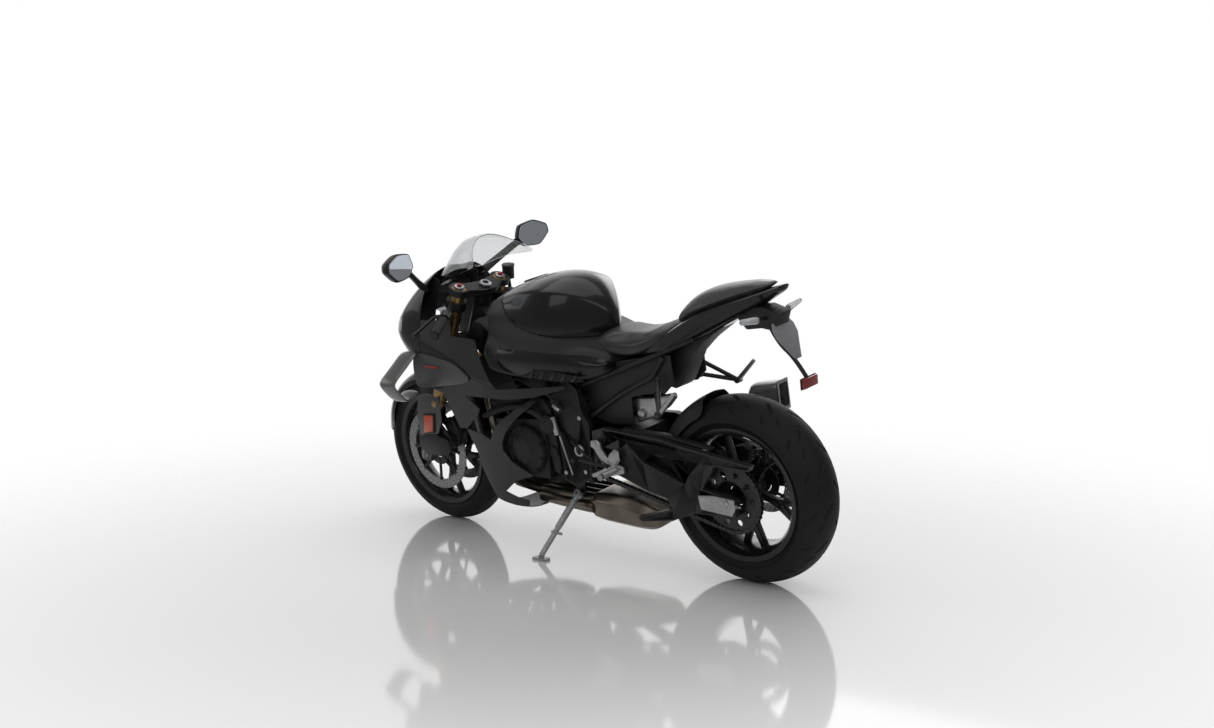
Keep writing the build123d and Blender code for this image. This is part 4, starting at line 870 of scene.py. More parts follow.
@dataclass
class Seats:
    """Rider's seat and passenger's pad, both padded, and the tail that carries them.

    swell: pressure in the cushions; furthest: how far it moves them, in metres; voxel: size of
    their cloth's mesh in metres; settle: frames that the cloth runs for.
    """

    swell: float = 4.0
    furthest: float = 0.007
    voxel: float = 0.0055
    settle: int = 20
    rider: Rows = (
        (532, 106, 812, 830, 790), (500, 124, 804, 838, 776), (470, 126, 800, 836, 768),
        (420, 124, 797, 833, 766), (370, 128, 800, 834, 768), (310, 134, 814, 846, 784),
        (260, 130, 834, 864, 806), (220, 116, 852, 880, 828), (196, 100, 864, 888, 846))
    pad: Rows = (
        (190, 74, 884, 902, 868), (165, 86, 900, 932, 884), (120, 92, 926, 972, 912),
        (60, 88, 950, 994, 936), (-10, 76, 972, 1006, 962), (-90, 58, 994, 1016, 988),
        (-172, 32, 1014, 1022, 1008))

    @staticmethod
    def cushion(stations: Rows) -> bpy.types.Object:
        """Closed cushion through stations of x, half width, z side, z top and z low."""
        rows = []
        for x, half, z_side, z_top, z_low in stations:
            left = [(half * 0.92, z_low + 2), (half, z_side),
                    (half * 0.9, z_side + (z_top - z_side) * 0.62), (half * 0.5, z_top - 1)]
            rows.append(ring(x, left + [(0, z_top)]) + [(x, 0, z_low)])
        return Bench.cage(rows, closed=True, levels=2)

    def swollen(self, obj: bpy.types.Object) -> bpy.types.Object:
        """Puffs a cushion up with cloth and applies the result."""
        obj.data.transform(Matrix.Scale(0.001, 4))
        Bench.modify(obj, "REMESH", mode="VOXEL", voxel_size=self.voxel)
        rest = [v.co.copy() for v in obj.data.vertices]
        Bench.pick(obj)
        settings = obj.modifiers.new("cloth", "CLOTH").settings
        settings.quality = 4
        settings.tension_stiffness = settings.compression_stiffness = 30
        settings.bending_stiffness = 6
        settings.use_pressure = True
        settings.uniform_pressure_force = self.swell
        settings.effector_weights.gravity = 0
        for step in range(1, self.settle + 1):
            bpy.context.scene.frame_set(step)
        bpy.ops.object.modifier_apply(modifier="cloth")
        bpy.context.scene.frame_set(1)
        for vert, start in zip(obj.data.vertices, rest):
            move = vert.co - start
            if move.length > self.furthest:
                vert.co = start + move * (self.furthest / move.length)
        Bench.modify(obj, "SMOOTH", factor=0.5, iterations=4)
        obj.data.transform(Matrix.Scale(1000, 4))
        return obj

    def build(self) -> None:
        """Makes the seats and the tail."""
        rider = self.swollen(self.cushion(self.rider))
        Bench.show("rider_seat_cover", rider, SEAT_COVER, "seat_cover", ["rider_seat"], smooth=60)
        pad = self.swollen(self.cushion(self.pad))
        Bench.show(
            "passenger_seat_cover", pad, PAD_COVER, "seat_cover", ["passenger_seat"], smooth=60)
        self.tail()

    def tail(self) -> None:
        """Tail shell: side panels that rise to a point, under the pad."""
        stations = (
            (352, 86, 786, 800, 752, 76), (300, 108, 802, 814, 752, 88),
            (240, 119, 828, 836, 766, 92), (190, 114, 866, 872, 796, 86),
            (100, 102, 910, 926, 838, 74), (0, 88, 946, 958, 888, 60),
            (-100, 66, 976, 986, 938, 42), (-180, 42, 1004, 1010, 984, 26),
            (-196, 34, 1008, 1012, 996, 22))
        rows = []
        for x, half, z_side, z_top, z_low, half_low in stations:
            left = [(half_low, z_low), ((half + half_low) / 2 + 2, (z_side + z_low) / 2),
                    (half, z_side), (half * 0.86, z_top), (half * 0.4, z_top + 2)]
            rows.append(ring(x, left + [(0, z_top + 2)]) + [(x, 0, z_low - 2)])
        shell = Bench.cage(rows, closed=True, levels=2, creases={2: 0.7, 8: 0.7})
        room = self.cushion([
            (x, half + 2, z_side, z_top + 120, z_low - 2)
            for x, half, z_side, z_top, z_low in self.rider])
        Bench.cut(shell, room)
        Bench.show("tail_shell", shell, PAINT, "gloss_black", ["tail_body"])


@dataclass
class Screen:
    """Clear windscreen: a double-curved sheet with a swept trailing edge."""

    wall: float = 3.0
    rows: Sequence[Sequence[Point]] = (
        ((1300, 0, 1030), (1296, 40, 1026), (1284, 74, 1014), (1268, 96, 1000)),
        ((1246, 0, 1100), (1242, 48, 1090), (1224, 88, 1062), (1208, 110, 1022)),
        ((1188, 0, 1142), (1182, 55, 1132), (1160, 102, 1098), (1140, 130, 1046)),
        ((1122, 0, 1152), (1116, 58, 1141), (1092, 112, 1104), (1062, 150, 1052)),
        ((1108, 0, 1150), (1100, 60, 1138), (1062, 122, 1098), (1008, 168, 1058)),
    )

    def build(self) -> None:
        """Makes the screen."""
        full = [[(x, -y, z) for x, y, z in reversed(row[1:])] + list(row) for row in self.rows]
        sheet = Bench.cage(full, levels=3)
        Bench.thicken(sheet, self.wall, (0.3, 0, 1))
        Bench.show(
            "windscreen_sheet", sheet, SCREEN_CLEAR, "smoke_glass", ["windscreen"], smooth=60)


@dataclass
class Mirrors:
    """Six-cornered mirrors on swept stalks."""

    head: Sequence[Flat] = (
        (268, 1076), (300, 1040), (376, 1034), (424, 1078), (418, 1112), (358, 1138), (286, 1126))
    yaw: float = math.radians(12)
    crisp: float = 0.10

    def outline(self) -> List[Flat]:
        """The head's outline with two points at each corner, so that it stays crisp."""
        made = []
        count = len(self.head)
        for index, (y, z) in enumerate(self.head):
            before, after = self.head[index - 1], self.head[(index + 1) % count]
            for other in (before, after):
                made.append((y + (other[0] - y) * self.crisp, z + (other[1] - z) * self.crisp))
        return made

    def swing(self, obj: bpy.types.Object) -> bpy.types.Object:
        """Turns a head inwards about its own upright middle line."""
        middle = Matrix.Translation((1206, 345, 1086))
        turn = middle @ Matrix.Rotation(self.yaw, 4, "Z") @ middle.inverted()
        obj.data.transform(Matrix.Translation((15, 0, 2)) @ turn)
        return obj

    def block(self, *slices: Flat) -> bpy.types.Object:
        """Block through slices of the outline, each with its x and its share of full size."""
        outline = self.outline()
        mid_y, mid_z = (sum(values) / len(outline) for values in zip(*outline))
        return self.swing(
            Bench.cage([[(x, mid_y + (y - mid_y) * share, mid_z + (z - mid_z) * share)
            for y, z in outline] for x, share in slices], closed=True))

    def build(self) -> None:
        """Makes both mirrors and their glass."""
        shell = self.block(
            (1180, 0.93), (1180.5, 0.975), (1184, 1), (1190, 1), (1206, 0.95), (1226, 0.72),
            (1236, 0.4), (1238, 0.12))
        stalk = Bench.cage([
            [(x + a, y, z + b) for a, b in ((-h, 0), (0, v), (h, 0), (0, -v))]
            for x, y, z, h, v in ((1318, 128, 956, 38, 28), (1300, 170, 983, 34, 24),
            (1280, 204, 1006, 31, 21), (1254, 246, 1036, 27, 20), (1230, 292, 1068, 26, 24),
            (1222, 304, 1076, 24, 24))], closed=True, levels=2)
        Bench.pair("mirror_shells", [shell, stalk], SATIN_BLACK, "gloss_black", ["mirrors"])
        glass = self.block(
            (1178.8, 0.02), (1178.8, 0.8), (1178.9, 0.895), (1179.4, 0.905), (1183, 0.905))
        Bench.pair("mirror_glasses", glass, MIRROR_GLASS, "gloss_black")


# ---------------------------------------------------------------------------- wheels
@dataclass
class Wheel:
    """One wheel: tyre with its grooves, and rim with its forked spokes and valve.

    grooves: share of the half width where each kind starts and stops, its lead and its sweep
    in radians.
    """

    tag: str
    body: Body
    centre: Point
    radius: float
    half: float
    crown: float
    rim_half: float
    hub_half: float
    spoke_half: float
    lip: float = 229.0
    seat: float = 218.0
    steps: int = 720
    facets: int = 36
    spokes: int = 5
    pitches: int = 15
    groove_depth: float = 6.5
    groove_half: float = 6.0
    fade: float = 0.05
    grooves: Sequence[Tuple[float, float, float, float]] = (
        (0.10, 0.46, 0, 0.30), (0.42, 0.66, 0.20, 0.36), (0.62, 0.86, 0.05, 0.30))

    def profile(self) -> List[Flat]:
        """Tyre outline as (radius, place), from one bead over the tread to the other."""
        arc = math.asin(min(0.97, self.half * 0.94 / self.crown))
        points = []
        for index in range(self.facets + 1):
            angle = -arc + 2 * arc * index / self.facets
            points.append((
                self.radius - self.crown * (1 - math.cos(angle)), self.crown * math.sin(angle)))
        shoulder = points[-1][0]
        side = [
            (shoulder - 9, self.half * 0.975), ((shoulder + self.lip) / 2, self.half),
            (self.lip + 12, self.rim_half + 1), (self.lip + 2, self.rim_half - 5),
            (self.seat, self.rim_half - 7), (self.seat, self.rim_half - 18),
            (self.lip + 6, self.rim_half - 18)]
        return flipped(side) + points + side

    def tyre(self) -> None:
        """Makes the tyre with the grooves pressed into its tread."""
        obj = Bench.turned(self.profile(), self.centre, self.steps)
        middle = Vector(self.centre)
        pitch = 2 * math.pi / self.pitches
        for vert in obj.data.vertices:
            local = vert.co - middle
            radius = math.hypot(local.x, local.z)
            share = abs(local.y) / self.half
            if radius < self.lip + 20 or not 0.05 <= share <= 0.86:
                continue
            angle = math.atan2(local.z, local.x) + (0.5 * pitch if local.y > 0 else 0)
            depth = 0
            for start, stop, lead, sweep in self.grooves:
                if start < share < stop:
                    off = (angle - lead - sweep * (share - start) * 1.4) % pitch
                    off = min(off, pitch - off) * self.radius
                    edge = min(1, (share - start) / self.fade, (stop - share) / self.fade)
                    depth = max(depth, edge * max(0, 1 - (off / self.groove_half) ** 6))
            if depth > 0:
                scale = (radius - self.groove_depth * depth) / radius
                vert.co = middle + Vector((local.x * scale, local.y, local.z * scale))
        Bench.show(
            self.tag + "_tyre_tread", obj, TYRE_RUBBER, "tyre_black", [self.tag + "_tyre"],
            body=self.body, smooth=40)

    def rim(self) -> None:
        """Makes the rim."""
        half, well = self.rim_half, self.seat - 18
        outer = [(self.lip, half - 1), (self.lip - 1.5, half), (self.lip - 4, half),
                 (self.seat - 8, half - 4), (self.seat - 14, half - 12), (well - 6, half - 32)]
        inner = [(well, half - 32), (self.seat - 2, half - 22), (self.seat - 1, half - 6.4),
                 (self.lip, half - 5.6)]
        barrel = Bench.turned(outer + flipped(outer) + flipped(inner) + inner, self.centre, 128)
        right = [(42, 16), (34, 26), (34, self.hub_half - 4), (30, self.hub_half),
                 (16, self.hub_half)]
        hub = Bench.turned(flipped(right) + right, self.centre, 64)
        parts = [barrel, hub]
        t = self.spoke_half
        for index in range(self.spokes):
            spoke = Bench.plate((
                (30, -17), (34, 17), (88, 11), (112, 15), (198, 47), (203, 30), (136, 0),
                (203, -30), (198, -47), (112, -15), (88, -11)), -t, t, 4.5, 3)
            turn = Matrix.Rotation(math.radians(90 + 360 / self.spokes * index), 4, "Y")
            spoke.data.transform(Matrix.Translation(self.centre) @ turn)
            parts.append(spoke)
        Bench.show(
            self.tag + "_rim_painted", parts, WHEEL_PAINT, "wheel_black", [self.tag + "_rim"],
            body=self.body)
        valve = Bench.bar((0, 0, self.seat - 40), (0, 12, self.seat - 22), 3.2)
        valve.data.transform(Matrix.Translation(self.centre))
        Bench.show(self.tag + "_valve", valve, RUBBER, "wheel_black", body=self.body)

    def build(self) -> None:
        """Makes the wheel."""
        self.tyre()
        self.rim()


@dataclass
class Brakes:
    """Perforated discs with their carriers, the calipers and the sprocket with its teeth."""

    @staticmethod
    def disc(centre: Point, y: float, outer: float, inner: float, half: float, holes: int,
             rows: int) -> bpy.types.Object:
        """Ring with rows of holes at lateral place y."""
        disc = Bench.turned((
            (inner, y - half), (outer - 0.6, y - half), (outer, y - half + 0.6),
            (outer, y + half - 0.6), (outer - 0.6, y + half), (inner, y + half)), centre, 144)
        pins = []
        step = (outer - inner - 12) / max(1, rows - 1)
        for index in range(holes):
            for row in range(rows):
                angle = 2 * math.pi * (index + row * 0.34) / holes
                radius = inner + 6 + step * row
                place = Vector(centre) + Vector(
                    (radius * math.cos(angle), 0, radius * math.sin(angle)))
                pins.append(Bench.pin(place.x, place.z, y - 9, y + 9, 2.6, 8, 0))
        return Bench.cut(disc, Bench.join(pins))

    @staticmethod
    def carrier(centre: Point, y: float, y_hub: float, outer: float, arms: int) -> bpy.types.Object:
        """Star that joins a disc to its hub, with its buttons."""
        side = 1 if y > 0 else -1
        parts = [
            Bench.turned(((35, y_hub - 3), (60, y_hub - 3), (64, y_hub), (60, y_hub + 3),
            (35, y_hub + 3)), centre, 64)]
        for index in range(arms):
            angle = 2 * math.pi * index / arms
            turn = Matrix.Rotation(angle, 4, "Y")
            arm = Bench.bar((54, y_hub, 0), (outer - 6, y, 0), 5.5, 10, 1)
            button = Bench.bar((outer, y - 4.4, 0), (outer, y + 4.4, 0), 8, 18, 1.2)
            bolt = Bench.bar((46, y_hub, 0), (46, y_hub + side * 6.5, 0), 5, 6, 0.6)
            for part in (arm, button, bolt):
                part.data.transform(Matrix.Translation(centre) @ turn)
                parts.append(part)
        return Bench.join(parts)

    def front(self) -> None:
        """Front discs and calipers."""
        disc = self.disc(FRONT_AXLE, 66, 160, 122, 2.25, 44, 3)
        Bench.pair(
            "front_disc_rings", disc, DISC_STEEL, "disc_steel", ["front_discs"],
            body=Body.FRONT_WHEEL)
        carrier = self.carrier(FRONT_AXLE, 66, 60.5, 121, 8)
        Bench.pair("front_disc_carriers", carrier, SATIN_BLACK, "disc_steel", body=Body.FRONT_WHEEL)
        outline = (
            (1336, 322), (1300, 340), (1292, 392), (1318, 442), (1346, 448), (1374, 424),
            (1350, 372))
        outer = Bench.plate(outline, 70.5, 91, 5, 3)
        inner = Bench.plate(outline, 44, 61.5, 5, 3)
        bridge = Bench.plate((
            (1300, 350), (1288, 392), (1300, 430), (1310, 428), (1300, 392), (1310, 352)), 55, 82,
            3)
        parts = [outer, inner, bridge]
        for x, z in ((1322, 362), (1338, 412)):
            parts.append(Bench.pin(x, z, 90, 96, 15, 28, 2))
        for x, z in ((1310, 340), (1350, 440)):
            parts.append(Bench.pin(x, z, 90, 99, 5.5, 6, 0.8))
        Bench.pair(
            "front_caliper_bodies", parts, CAST_DARK, "engine_dark", ["front_calipers"],
            body=Body.STEERING)

    def rear(self) -> None:
        """Rear disc, caliper and sprocket."""
        disc = self.disc(REAR_AXLE, -82, 110, 78, 2.5, 30, 3)
        Bench.show(
            "rear_disc_ring", disc, DISC_STEEL, "disc_steel", ["rear_disc"], body=Body.REAR_WHEEL)
        carrier = self.carrier(REAR_AXLE, -82, -71, 80, 5)
        Bench.show("rear_disc_carrier", carrier, SATIN_BLACK, "disc_steel", body=Body.REAR_WHEEL)
        caliper = Bench.plate((
            (58, 386), (60, 430), (76, 436), (110, 430), (116, 410), (112, 384), (86, 380)), -111,
            -70, 5, 3)
        Bench.cut(
            caliper, Bench.turned(((0.01, -87), (115, -87), (115, -77), (0.01, -77)), REAR_AXLE,
            96))
        Bench.show("rear_caliper_body", caliper, CAST_DARK, "engine_dark", ["rear_caliper"])
        teeth, count = [], 42
        for index in range(count):
            angle = 2 * math.pi * index / count
            for radius, off in (
                    (109.5, 0.14), (110.5, 0.36), (116, 0.44), (117, 0.5), (116, 0.56),
                    (110.5, 0.64), (109.5, 0.86)):
                turn = angle + 2 * math.pi * off / count
                teeth.append((
                    REAR_AXLE[0] + radius * math.cos(turn), REAR_AXLE[2] + radius * math.sin(turn)))
        plate = Bench.plate(teeth, 106.8, 113.2, 0)
        Bench.cut(plate, Bench.pin(0, 320, 90, 130, 60, 64, 0))
        holes = [Bench.pin(x, z, 90, 130, 11, 24, 0) for x, z in circle(10, 84, 0, 320)]
        Bench.cut(plate, Bench.join(holes))
        Bench.show(
            "sprocket_plate", plate, CHAIN_STEEL, "chain_steel", ["rear_sprocket"],
            body=Body.REAR_WHEEL)
        spider = Bench.turned((
            (34, 71), (62, 71), (70, 84), (70, 106), (60, 107), (52, 86), (34, 84)), REAR_AXLE, 64)
        bolts = [Bench.pin(x, z, 104, 119, 7.5, 6, 0.8) for x, z in circle(5, 66, 0, 320)]
        Bench.show(
            "sprocket_carrier", [spider] + bolts, CAST_DARK, "chain_steel", body=Body.REAR_WHEEL)

    def build(self) -> None:
        """Makes the brakes and the sprocket."""
        self.front()
        self.rear()


@dataclass
class Chain:
    """Links along the loop round both sprockets."""

    y: float = 110.0
    big: Tuple[float, float, float] = (0.0, 320.0, 113.8)
    small: Tuple[float, float, float] = (690.0, 396.0, 43.2)
    count: int = 116

    def places(self) -> List[Tuple[float, float, float]]:
        """(x, z, heading) of each pin along the loop."""
        dx, dz = self.small[0] - self.big[0], self.small[1] - self.big[1]
        gap = math.hypot(dx, dz)
        slope = math.atan2(dz, dx)
        spread = math.acos((self.big[2] - self.small[2]) / gap)
        run = gap * math.sin(spread)
        turn_big, turn_small = 2 * (math.pi - spread), 2 * spread
        total = 2 * run + turn_big * self.big[2] + turn_small * self.small[2]
        made = []
        for index in range(self.count):
            s = total * index / self.count
            wheel, angle, ahead = self.small, slope + spread, 0
            if s < run:
                wheel, ahead = self.big, s
            elif s < run + turn_small * self.small[2]:
                angle -= (s - run) / self.small[2]
            elif s < 2 * run + turn_small * self.small[2]:
                angle, ahead = slope - spread, s - run - turn_small * self.small[2]
            else:
                wheel = self.big
                angle = slope - spread - (s - 2 * run - turn_small * self.small[2]) / self.big[2]
            heading = angle - math.pi / 2
            made.append((
                wheel[0] + wheel[2] * math.cos(angle) + ahead * math.cos(heading),
                wheel[1] + wheel[2] * math.sin(angle) + ahead * math.sin(heading), heading))
        return made

    def link(self, wide: float) -> bpy.types.Object:
        """One link's two plates and its roller, with plates at wide from the middle."""
        shape = [
            (8 * math.cos(a), 7.2 * math.sin(a))
            for a in (math.pi / 2, 2.2, math.pi, -2.2, -math.pi / 2)]
        shape += [
            (7.9, -5.4), (15.9, -7.2), (21, -4.6), (23.4, 0), (21, 4.6), (15.9, 7.2), (7.9, 5.4)]
        parts = [Bench.plate(shape, side * wide - 0.9, side * wide + 0.9, 0) for side in (-1, 1)]
        parts.append(Bench.pin(0, 0, -wide, wide, 4.8, 10, 0))
        return Bench.join(parts)

    def build(self) -> None:
        """Makes the chain."""
        links = {0: self.link(5.4), 1: self.link(7.4)}
        parts = []
        for index, (x, z, heading) in enumerate(self.places()):
            part = Bench.copy(links[index % 2])
            part.data.transform(
                Matrix.Translation((x, self.y, z)) @ Matrix.Rotation(-heading, 4, "Y"))
            parts.append(part)
        for spare in links.values():
            bpy.data.objects.remove(spare)
        Bench.show("drive_chain_links", parts, CHAIN_STEEL, "chain_steel", ["drive_chain"])


# ---------------------------------------------------------------------------- front end
@dataclass
class FrontEnd:
    """Fork, its covers, the mudguard, the clamps, the bars and their controls."""

    def fork(self) -> None:
        """Gold tubes, dark lower tubes, feet and outer covers."""
        tubes, lows, caps, dials = [], [], [], []
        for side in (1, -1):
            for made, low, high, radius, sides, bevel in (
                    (tubes, 500, 966, 27, 40, 1.5), (tubes, 500, 524, 29.5, 40, 1.5),
                    (lows, 276, 500, 22.5, 40, 1), (lows, 276, 430, 28, 40, 4),
                    (caps, 962, 974, 20, 8, 1.5), (dials, 973, 980, 9, 12, 1)):
                made.append(
                    Bench.bar(fork_point(low, side), fork_point(high, side), radius, sides, bevel))
        Bench.show("fork_uppers", tubes, GOLD, "fork_gold", ["fork_tubes"], body=Body.STEERING)
        Bench.show("fork_top_caps", caps, ALLOY, "fork_gold", body=Body.STEERING)
        Bench.show("fork_dials", dials, RED_TRIM, "fork_gold", body=Body.STEERING)
        foot = Bench.pin(1457, 300, 86, 126, 30, 40, 3)
        lug = Bench.plate((
            (1432, 296), (1384, 326), (1334, 345), (1326, 370), (1385, 425), (1410, 400)), 93, 107,
            3)
        nut = Bench.pin(1457, 300, 124, 133, 17, 6, 1)
        for part in (foot, nut):
            Bench.cut(part, Bench.pin(1457, 300, 80, 140, 9, 24, 0))
        Bench.show(
            "fork_lowers", lows + [Bench.both([foot, lug])], FORK_GREY, "fork_grey",
            ["fork_bottoms"], body=Body.STEERING)
        Bench.pair("front_axle_nuts", nut, STEEL, "bare_alu", ["front_axle"], body=Body.STEERING)
        # The reflector lens glows faintly: painted light, not a lamp.
        lens = Bench.plate(((1421, 462), (1370, 467), (1382, 402), (1434, 391)), 139, 143, 1.5)
        seat = Bench.plate(((1426, 468), (1364, 473), (1377, 396), (1440, 384)), 133, 139.5, 2)
        Bench.pair("fork_reflectors", lens, ORANGE_LENS, "lamp_red", body=Body.STEERING)
        Bench.pair("fork_reflector_plates", seat, SATIN_BLACK, "fork_grey", body=Body.STEERING)
        cover = Bench.plate((
            (1470, 376), (1387, 390), (1310, 372), (1300, 326), (1362, 301), (1446, 302),
            (1478, 335)), 127, 136, 4, 3)
        Bench.pair("fork_foot_covers", cover, SATIN_BLACK, "fork_grey", body=Body.STEERING)
        guard = Bench.plate((
            (1453, 530), (1400, 548), (1330, 541), (1334, 446), (1362, 392), (1389, 384),
            (1462, 378), (1474, 440)), 128, 133, 2.5)
        Bench.pair("fork_side_guards", guard, GUARD_GREY, "matt_grey", body=Body.STEERING)

    def mudguard(self) -> None:
        """Arched guard over the front tyre, with its side plates."""
        rows = []
        for degrees in (8, 24, 42, 60, 78, 96, 114, 132, 150):
            angle = math.radians(degrees)
            tip = 0.72 if degrees in (8, 150) else 1
            row = []
            for place, radius in ((0, 323), (26, 320), (48, 311), (64, 294), (70, 272)):
                drop = 12 if place > 50 and not 40 < degrees < 130 else 0
                row.append((
                    1457 + (radius - drop) * math.cos(angle), place * tip,
                    300 + (radius - drop) * math.sin(angle)))
            rows.append(row)
        sheet = Bench.cage(rows, levels=3, creases={3: 0.5})
        Bench.thicken(sheet, 2.6, (0, 0.5, 1))
        stay = Bench.plate((
            (1500, 560), (1420, 590), (1352, 556), (1372, 440), (1410, 404), (1446, 400),
            (1478, 440)), 74, 77.5, 1.2)
        Bench.pair(
            "front_mudguard_skin", [sheet, stay], PAINT, "gloss_black", ["front_mudguard"],
            body=Body.STEERING)

    def bars(self) -> None:
        """Clamps, bars, grips, bar ends, stem nut and reservoir lid."""
        dress(CAST_DARK, "upper_clamp", "lower_clamp")
        dress(SATIN_BLACK, "clip_ons", "bar_controls")
        inner, outer = Vector((1150, 190, 893)), Vector((1063, 345, 850))
        run = (outer - inner).normalized()
        grip = Bench.turned(
            [(11.2, 0)] + [(16.4 if i % 2 else 15.2, 3 + i * 4) for i in range(30)] + [(18.5, 122),
            (18.5, 125), (11.2, 125)], outer - run * 125, 28, run)
        weight = Bench.bar(outer + run, outer + run * 8, 15, 24, 2)
        Bench.pair("grip_rubbers", grip, RUBBER, "grip_rubber", ["grips"], body=Body.STEERING)
        Bench.pair("bar_end_weights", weight, SATIN_BLACK, "grip_rubber", body=Body.STEERING)
        nut = Bench.turned(
            ((13, 0), (24, 0), (24, 8), (21, 11), (13, 11)),
            STEER_FOOT + STEER_DIR * (958 / STEER_DIR.z), 6, STEER_DIR)
        Bench.show("stem_nut", nut, ALLOY, "engine_dark", body=Body.STEERING)
        lid = Bench.bar((1182, -172, 990), (1181, -172, 1000), 24.5, 32, 2)
        Bench.show("reservoir_lid", lid, CAST_GREY, "engine_dark", body=Body.STEERING)

    def build(self) -> None:
        """Makes the front end."""
        self.fork()
        self.mudguard()
        self.bars()


# ---------------------------------------------------------------------------- the middle
@dataclass
class Middle:
    """Frame, engine, radiator and exhaust.

    box: sections of the exhaust box as x and its (y, z) points from the top middle down.
    """

    box: Sections = (
        (646, ((0, 232), (66, 232), (90, 212), (86, 162), (58, 142), (0, 142))),
        (634, ((0, 240), (74, 240), (100, 216), (96, 157), (62, 134), (0, 134))),
        (460, ((0, 255), (86, 255), (110, 216), (102, 155), (66, 131), (0, 131))),
        (370, ((0, 225), (86, 225), (108, 198), (100, 153), (66, 131), (0, 131))),
        (330, ((0, 210), (56, 210), (74, 198), (70, 176), (50, 164), (0, 164))),
        (318, ((0, 200), (40, 200), (52, 194), (50, 180), (36, 172), (0, 172))),
    )

    def frame(self) -> None:
        """Beam frame, its bolts and the covers inside the tail and the nose."""
        spar = Bench.plate((
            (1070, 856), (1122, 796), (1000, 690), (850, 640), (735, 600), (705, 500), (700, 300),
            (655, 282), (575, 318), (566, 420), (560, 520), (590, 560), (600, 640), (640, 668),
            (760, 690), (950, 780), (1030, 850)), 123, 145, 6, 3)
        upper = Bench.plate((
            (1080, 858), (1122, 796), (1070, 740), (960, 690), (900, 760), (1040, 846)), 60, 124, 6)
        Bench.pair("frame_beams", [spar, upper], FRAME_METAL, "frame_black")
        dress(FRAME_METAL, "main_frame", "rear_subframe")
        bolts = [
            Bench.pin(x, z, 144, 151, 9, 6, 1)
            for x, z in ((690, 330), (598, 540), (930, 720), (596, 344))]
        plug = Bench.turned(
            ((11, 145), (22, 145), (22, 151), (19, 155), (14, 155), (11, 150)), (614, 0, 420), 40)
        Bench.pair("frame_bolts", bolts + [plug], ALLOY, "bare_alu", ["pivot_shaft"])
        cover = Bench.plate((
            (652, 706), (562, 712), (470, 737), (330, 762), (216, 778), (210, 682), (250, 645),
            (345, 632), (400, 618), (402, 522), (500, 512), (575, 530), (644, 618)), 84, 92, 3)
        liner = Bench.plate((
            (1352, 735), (1346, 790), (1326, 836), (1312, 884), (1290, 930), (1272, 985),
            (1300, 1000), (1345, 965), (1400, 925), (1440, 880), (1455, 838), (1450, 780),
            (1438, 736)), 99, 102, 1)
        Bench.pair("inner_covers", [cover, liner], PLASTIC, "matt_black")

    def engine(self) -> None:
        """Castings over the plain block: covers, bolts, ribs and coolant hoses."""
        dress(CAST_DARK, "engine_block")
        centre = (850, 0, 405)
        cover = Bench.turned((
            (0.01, 150), (0.01, 194), (30, 194), (46, 192), (52, 187), (58, 184), (76, 183),
            (84, 178), (88, 168), (88, 150)), centre, 72)
        parts = [cover]
        for x, z in circle(9, 82, centre[0], centre[2]):
            parts += [Bench.pin(x, z, 150, 184, 9, 20, 1.5), Bench.pin(x, z, 184, 189, 5, 6, 0.6)]
        move = Matrix.Translation(centre)
        for index in range(6):
            rib = Bench.plate(((868, 403), (868, 407), (900, 407), (900, 403)), 188, 194.5, 1)
            turn = Matrix.Rotation(math.radians(60 * index), 4, "Y")
            rib.data.transform(move @ turn @ move.inverted())
            parts.append(rib)
        clutch = Bench.turned((
            (0.01, -150), (0.01, -192), (50, -192), (66, -190), (74, -183), (84, -178),
            (84, -150)), (800, 0, 410), 72)
        parts += [Bench.pin(x, z, -176, -187, 5, 6, 0.6) for x, z in circle(8, 76, 800, 410)]
        sprocket = Bench.plate((
            (750, 466), (756, 400), (748, 342), (716, 328), (708, 350), (708, 462), (720, 474)),
            121.5, 141, 5, 3)
        Bench.show(
            "engine_cover_castings", parts + [clutch, sprocket], CAST_DARK, "engine_dark",
            ["engine_covers"])
        pump = Bench.turned(
            ((0.01, 150), (0.01, 176), (26, 176), (36, 168), (38, 150)), (742, 0, 505), 40)
        pipes = [
            Bench.tube((
                (742, 168, 520), (800, 176, 560), (900, 172, 560), (1020, 160, 520),
                (1072, 150, 500)), 11),
            Bench.tube(((700, 110, 520), (760, 150, 590), (860, 150, 610), (960, 140, 600)), 7)]
        Bench.show("coolant_hoses", pipes, RUBBER, "grip_rubber")
        head = Bench.plate(
            ((930, 690), (1060, 640), (1084, 700), (1040, 736), (936, 738)), -146, 146, 10, 3)
        fins = [
            Bench.plate(((872, 580 + k * 26), (1034, 520 + k * 26), (1036, 526 + k * 26),
            (874, 586 + k * 26)), -153, 153, 1.5) for k in range(4)]
        Bench.show("engine_castings", [pump, head] + fins, CAST_DARK, "engine_dark")
        plate = Bench.plate((
            (762, 596), (800, 576), (812, 540), (772, 480), (752, 400), (742, 330), (716, 318),
            (708, 350), (716, 470), (730, 560)), 146, 154, 3)
        boss = Bench.pin(732, 404, 150, 160, 20, 32, 2)
        Bench.show("side_plate", [plate, boss], CAST_DARK, "engine_dark")
        bits = [
            Bench.plate(((704, 540), (726, 532), (708, 468), (688, 474)), 156, 168, 3),
            Bench.bar((690, 162, 470), (648, 160, 330), 3.2, 12),
            Bench.bar((704, 160, 580), (676, 160, 562), 8, 16, 2),
            Bench.bar((888, 150, 300), (900, 168, 304), 11, 20, 2)]
        Bench.show("engine_fittings", bits, ALLOY, "bare_alu")

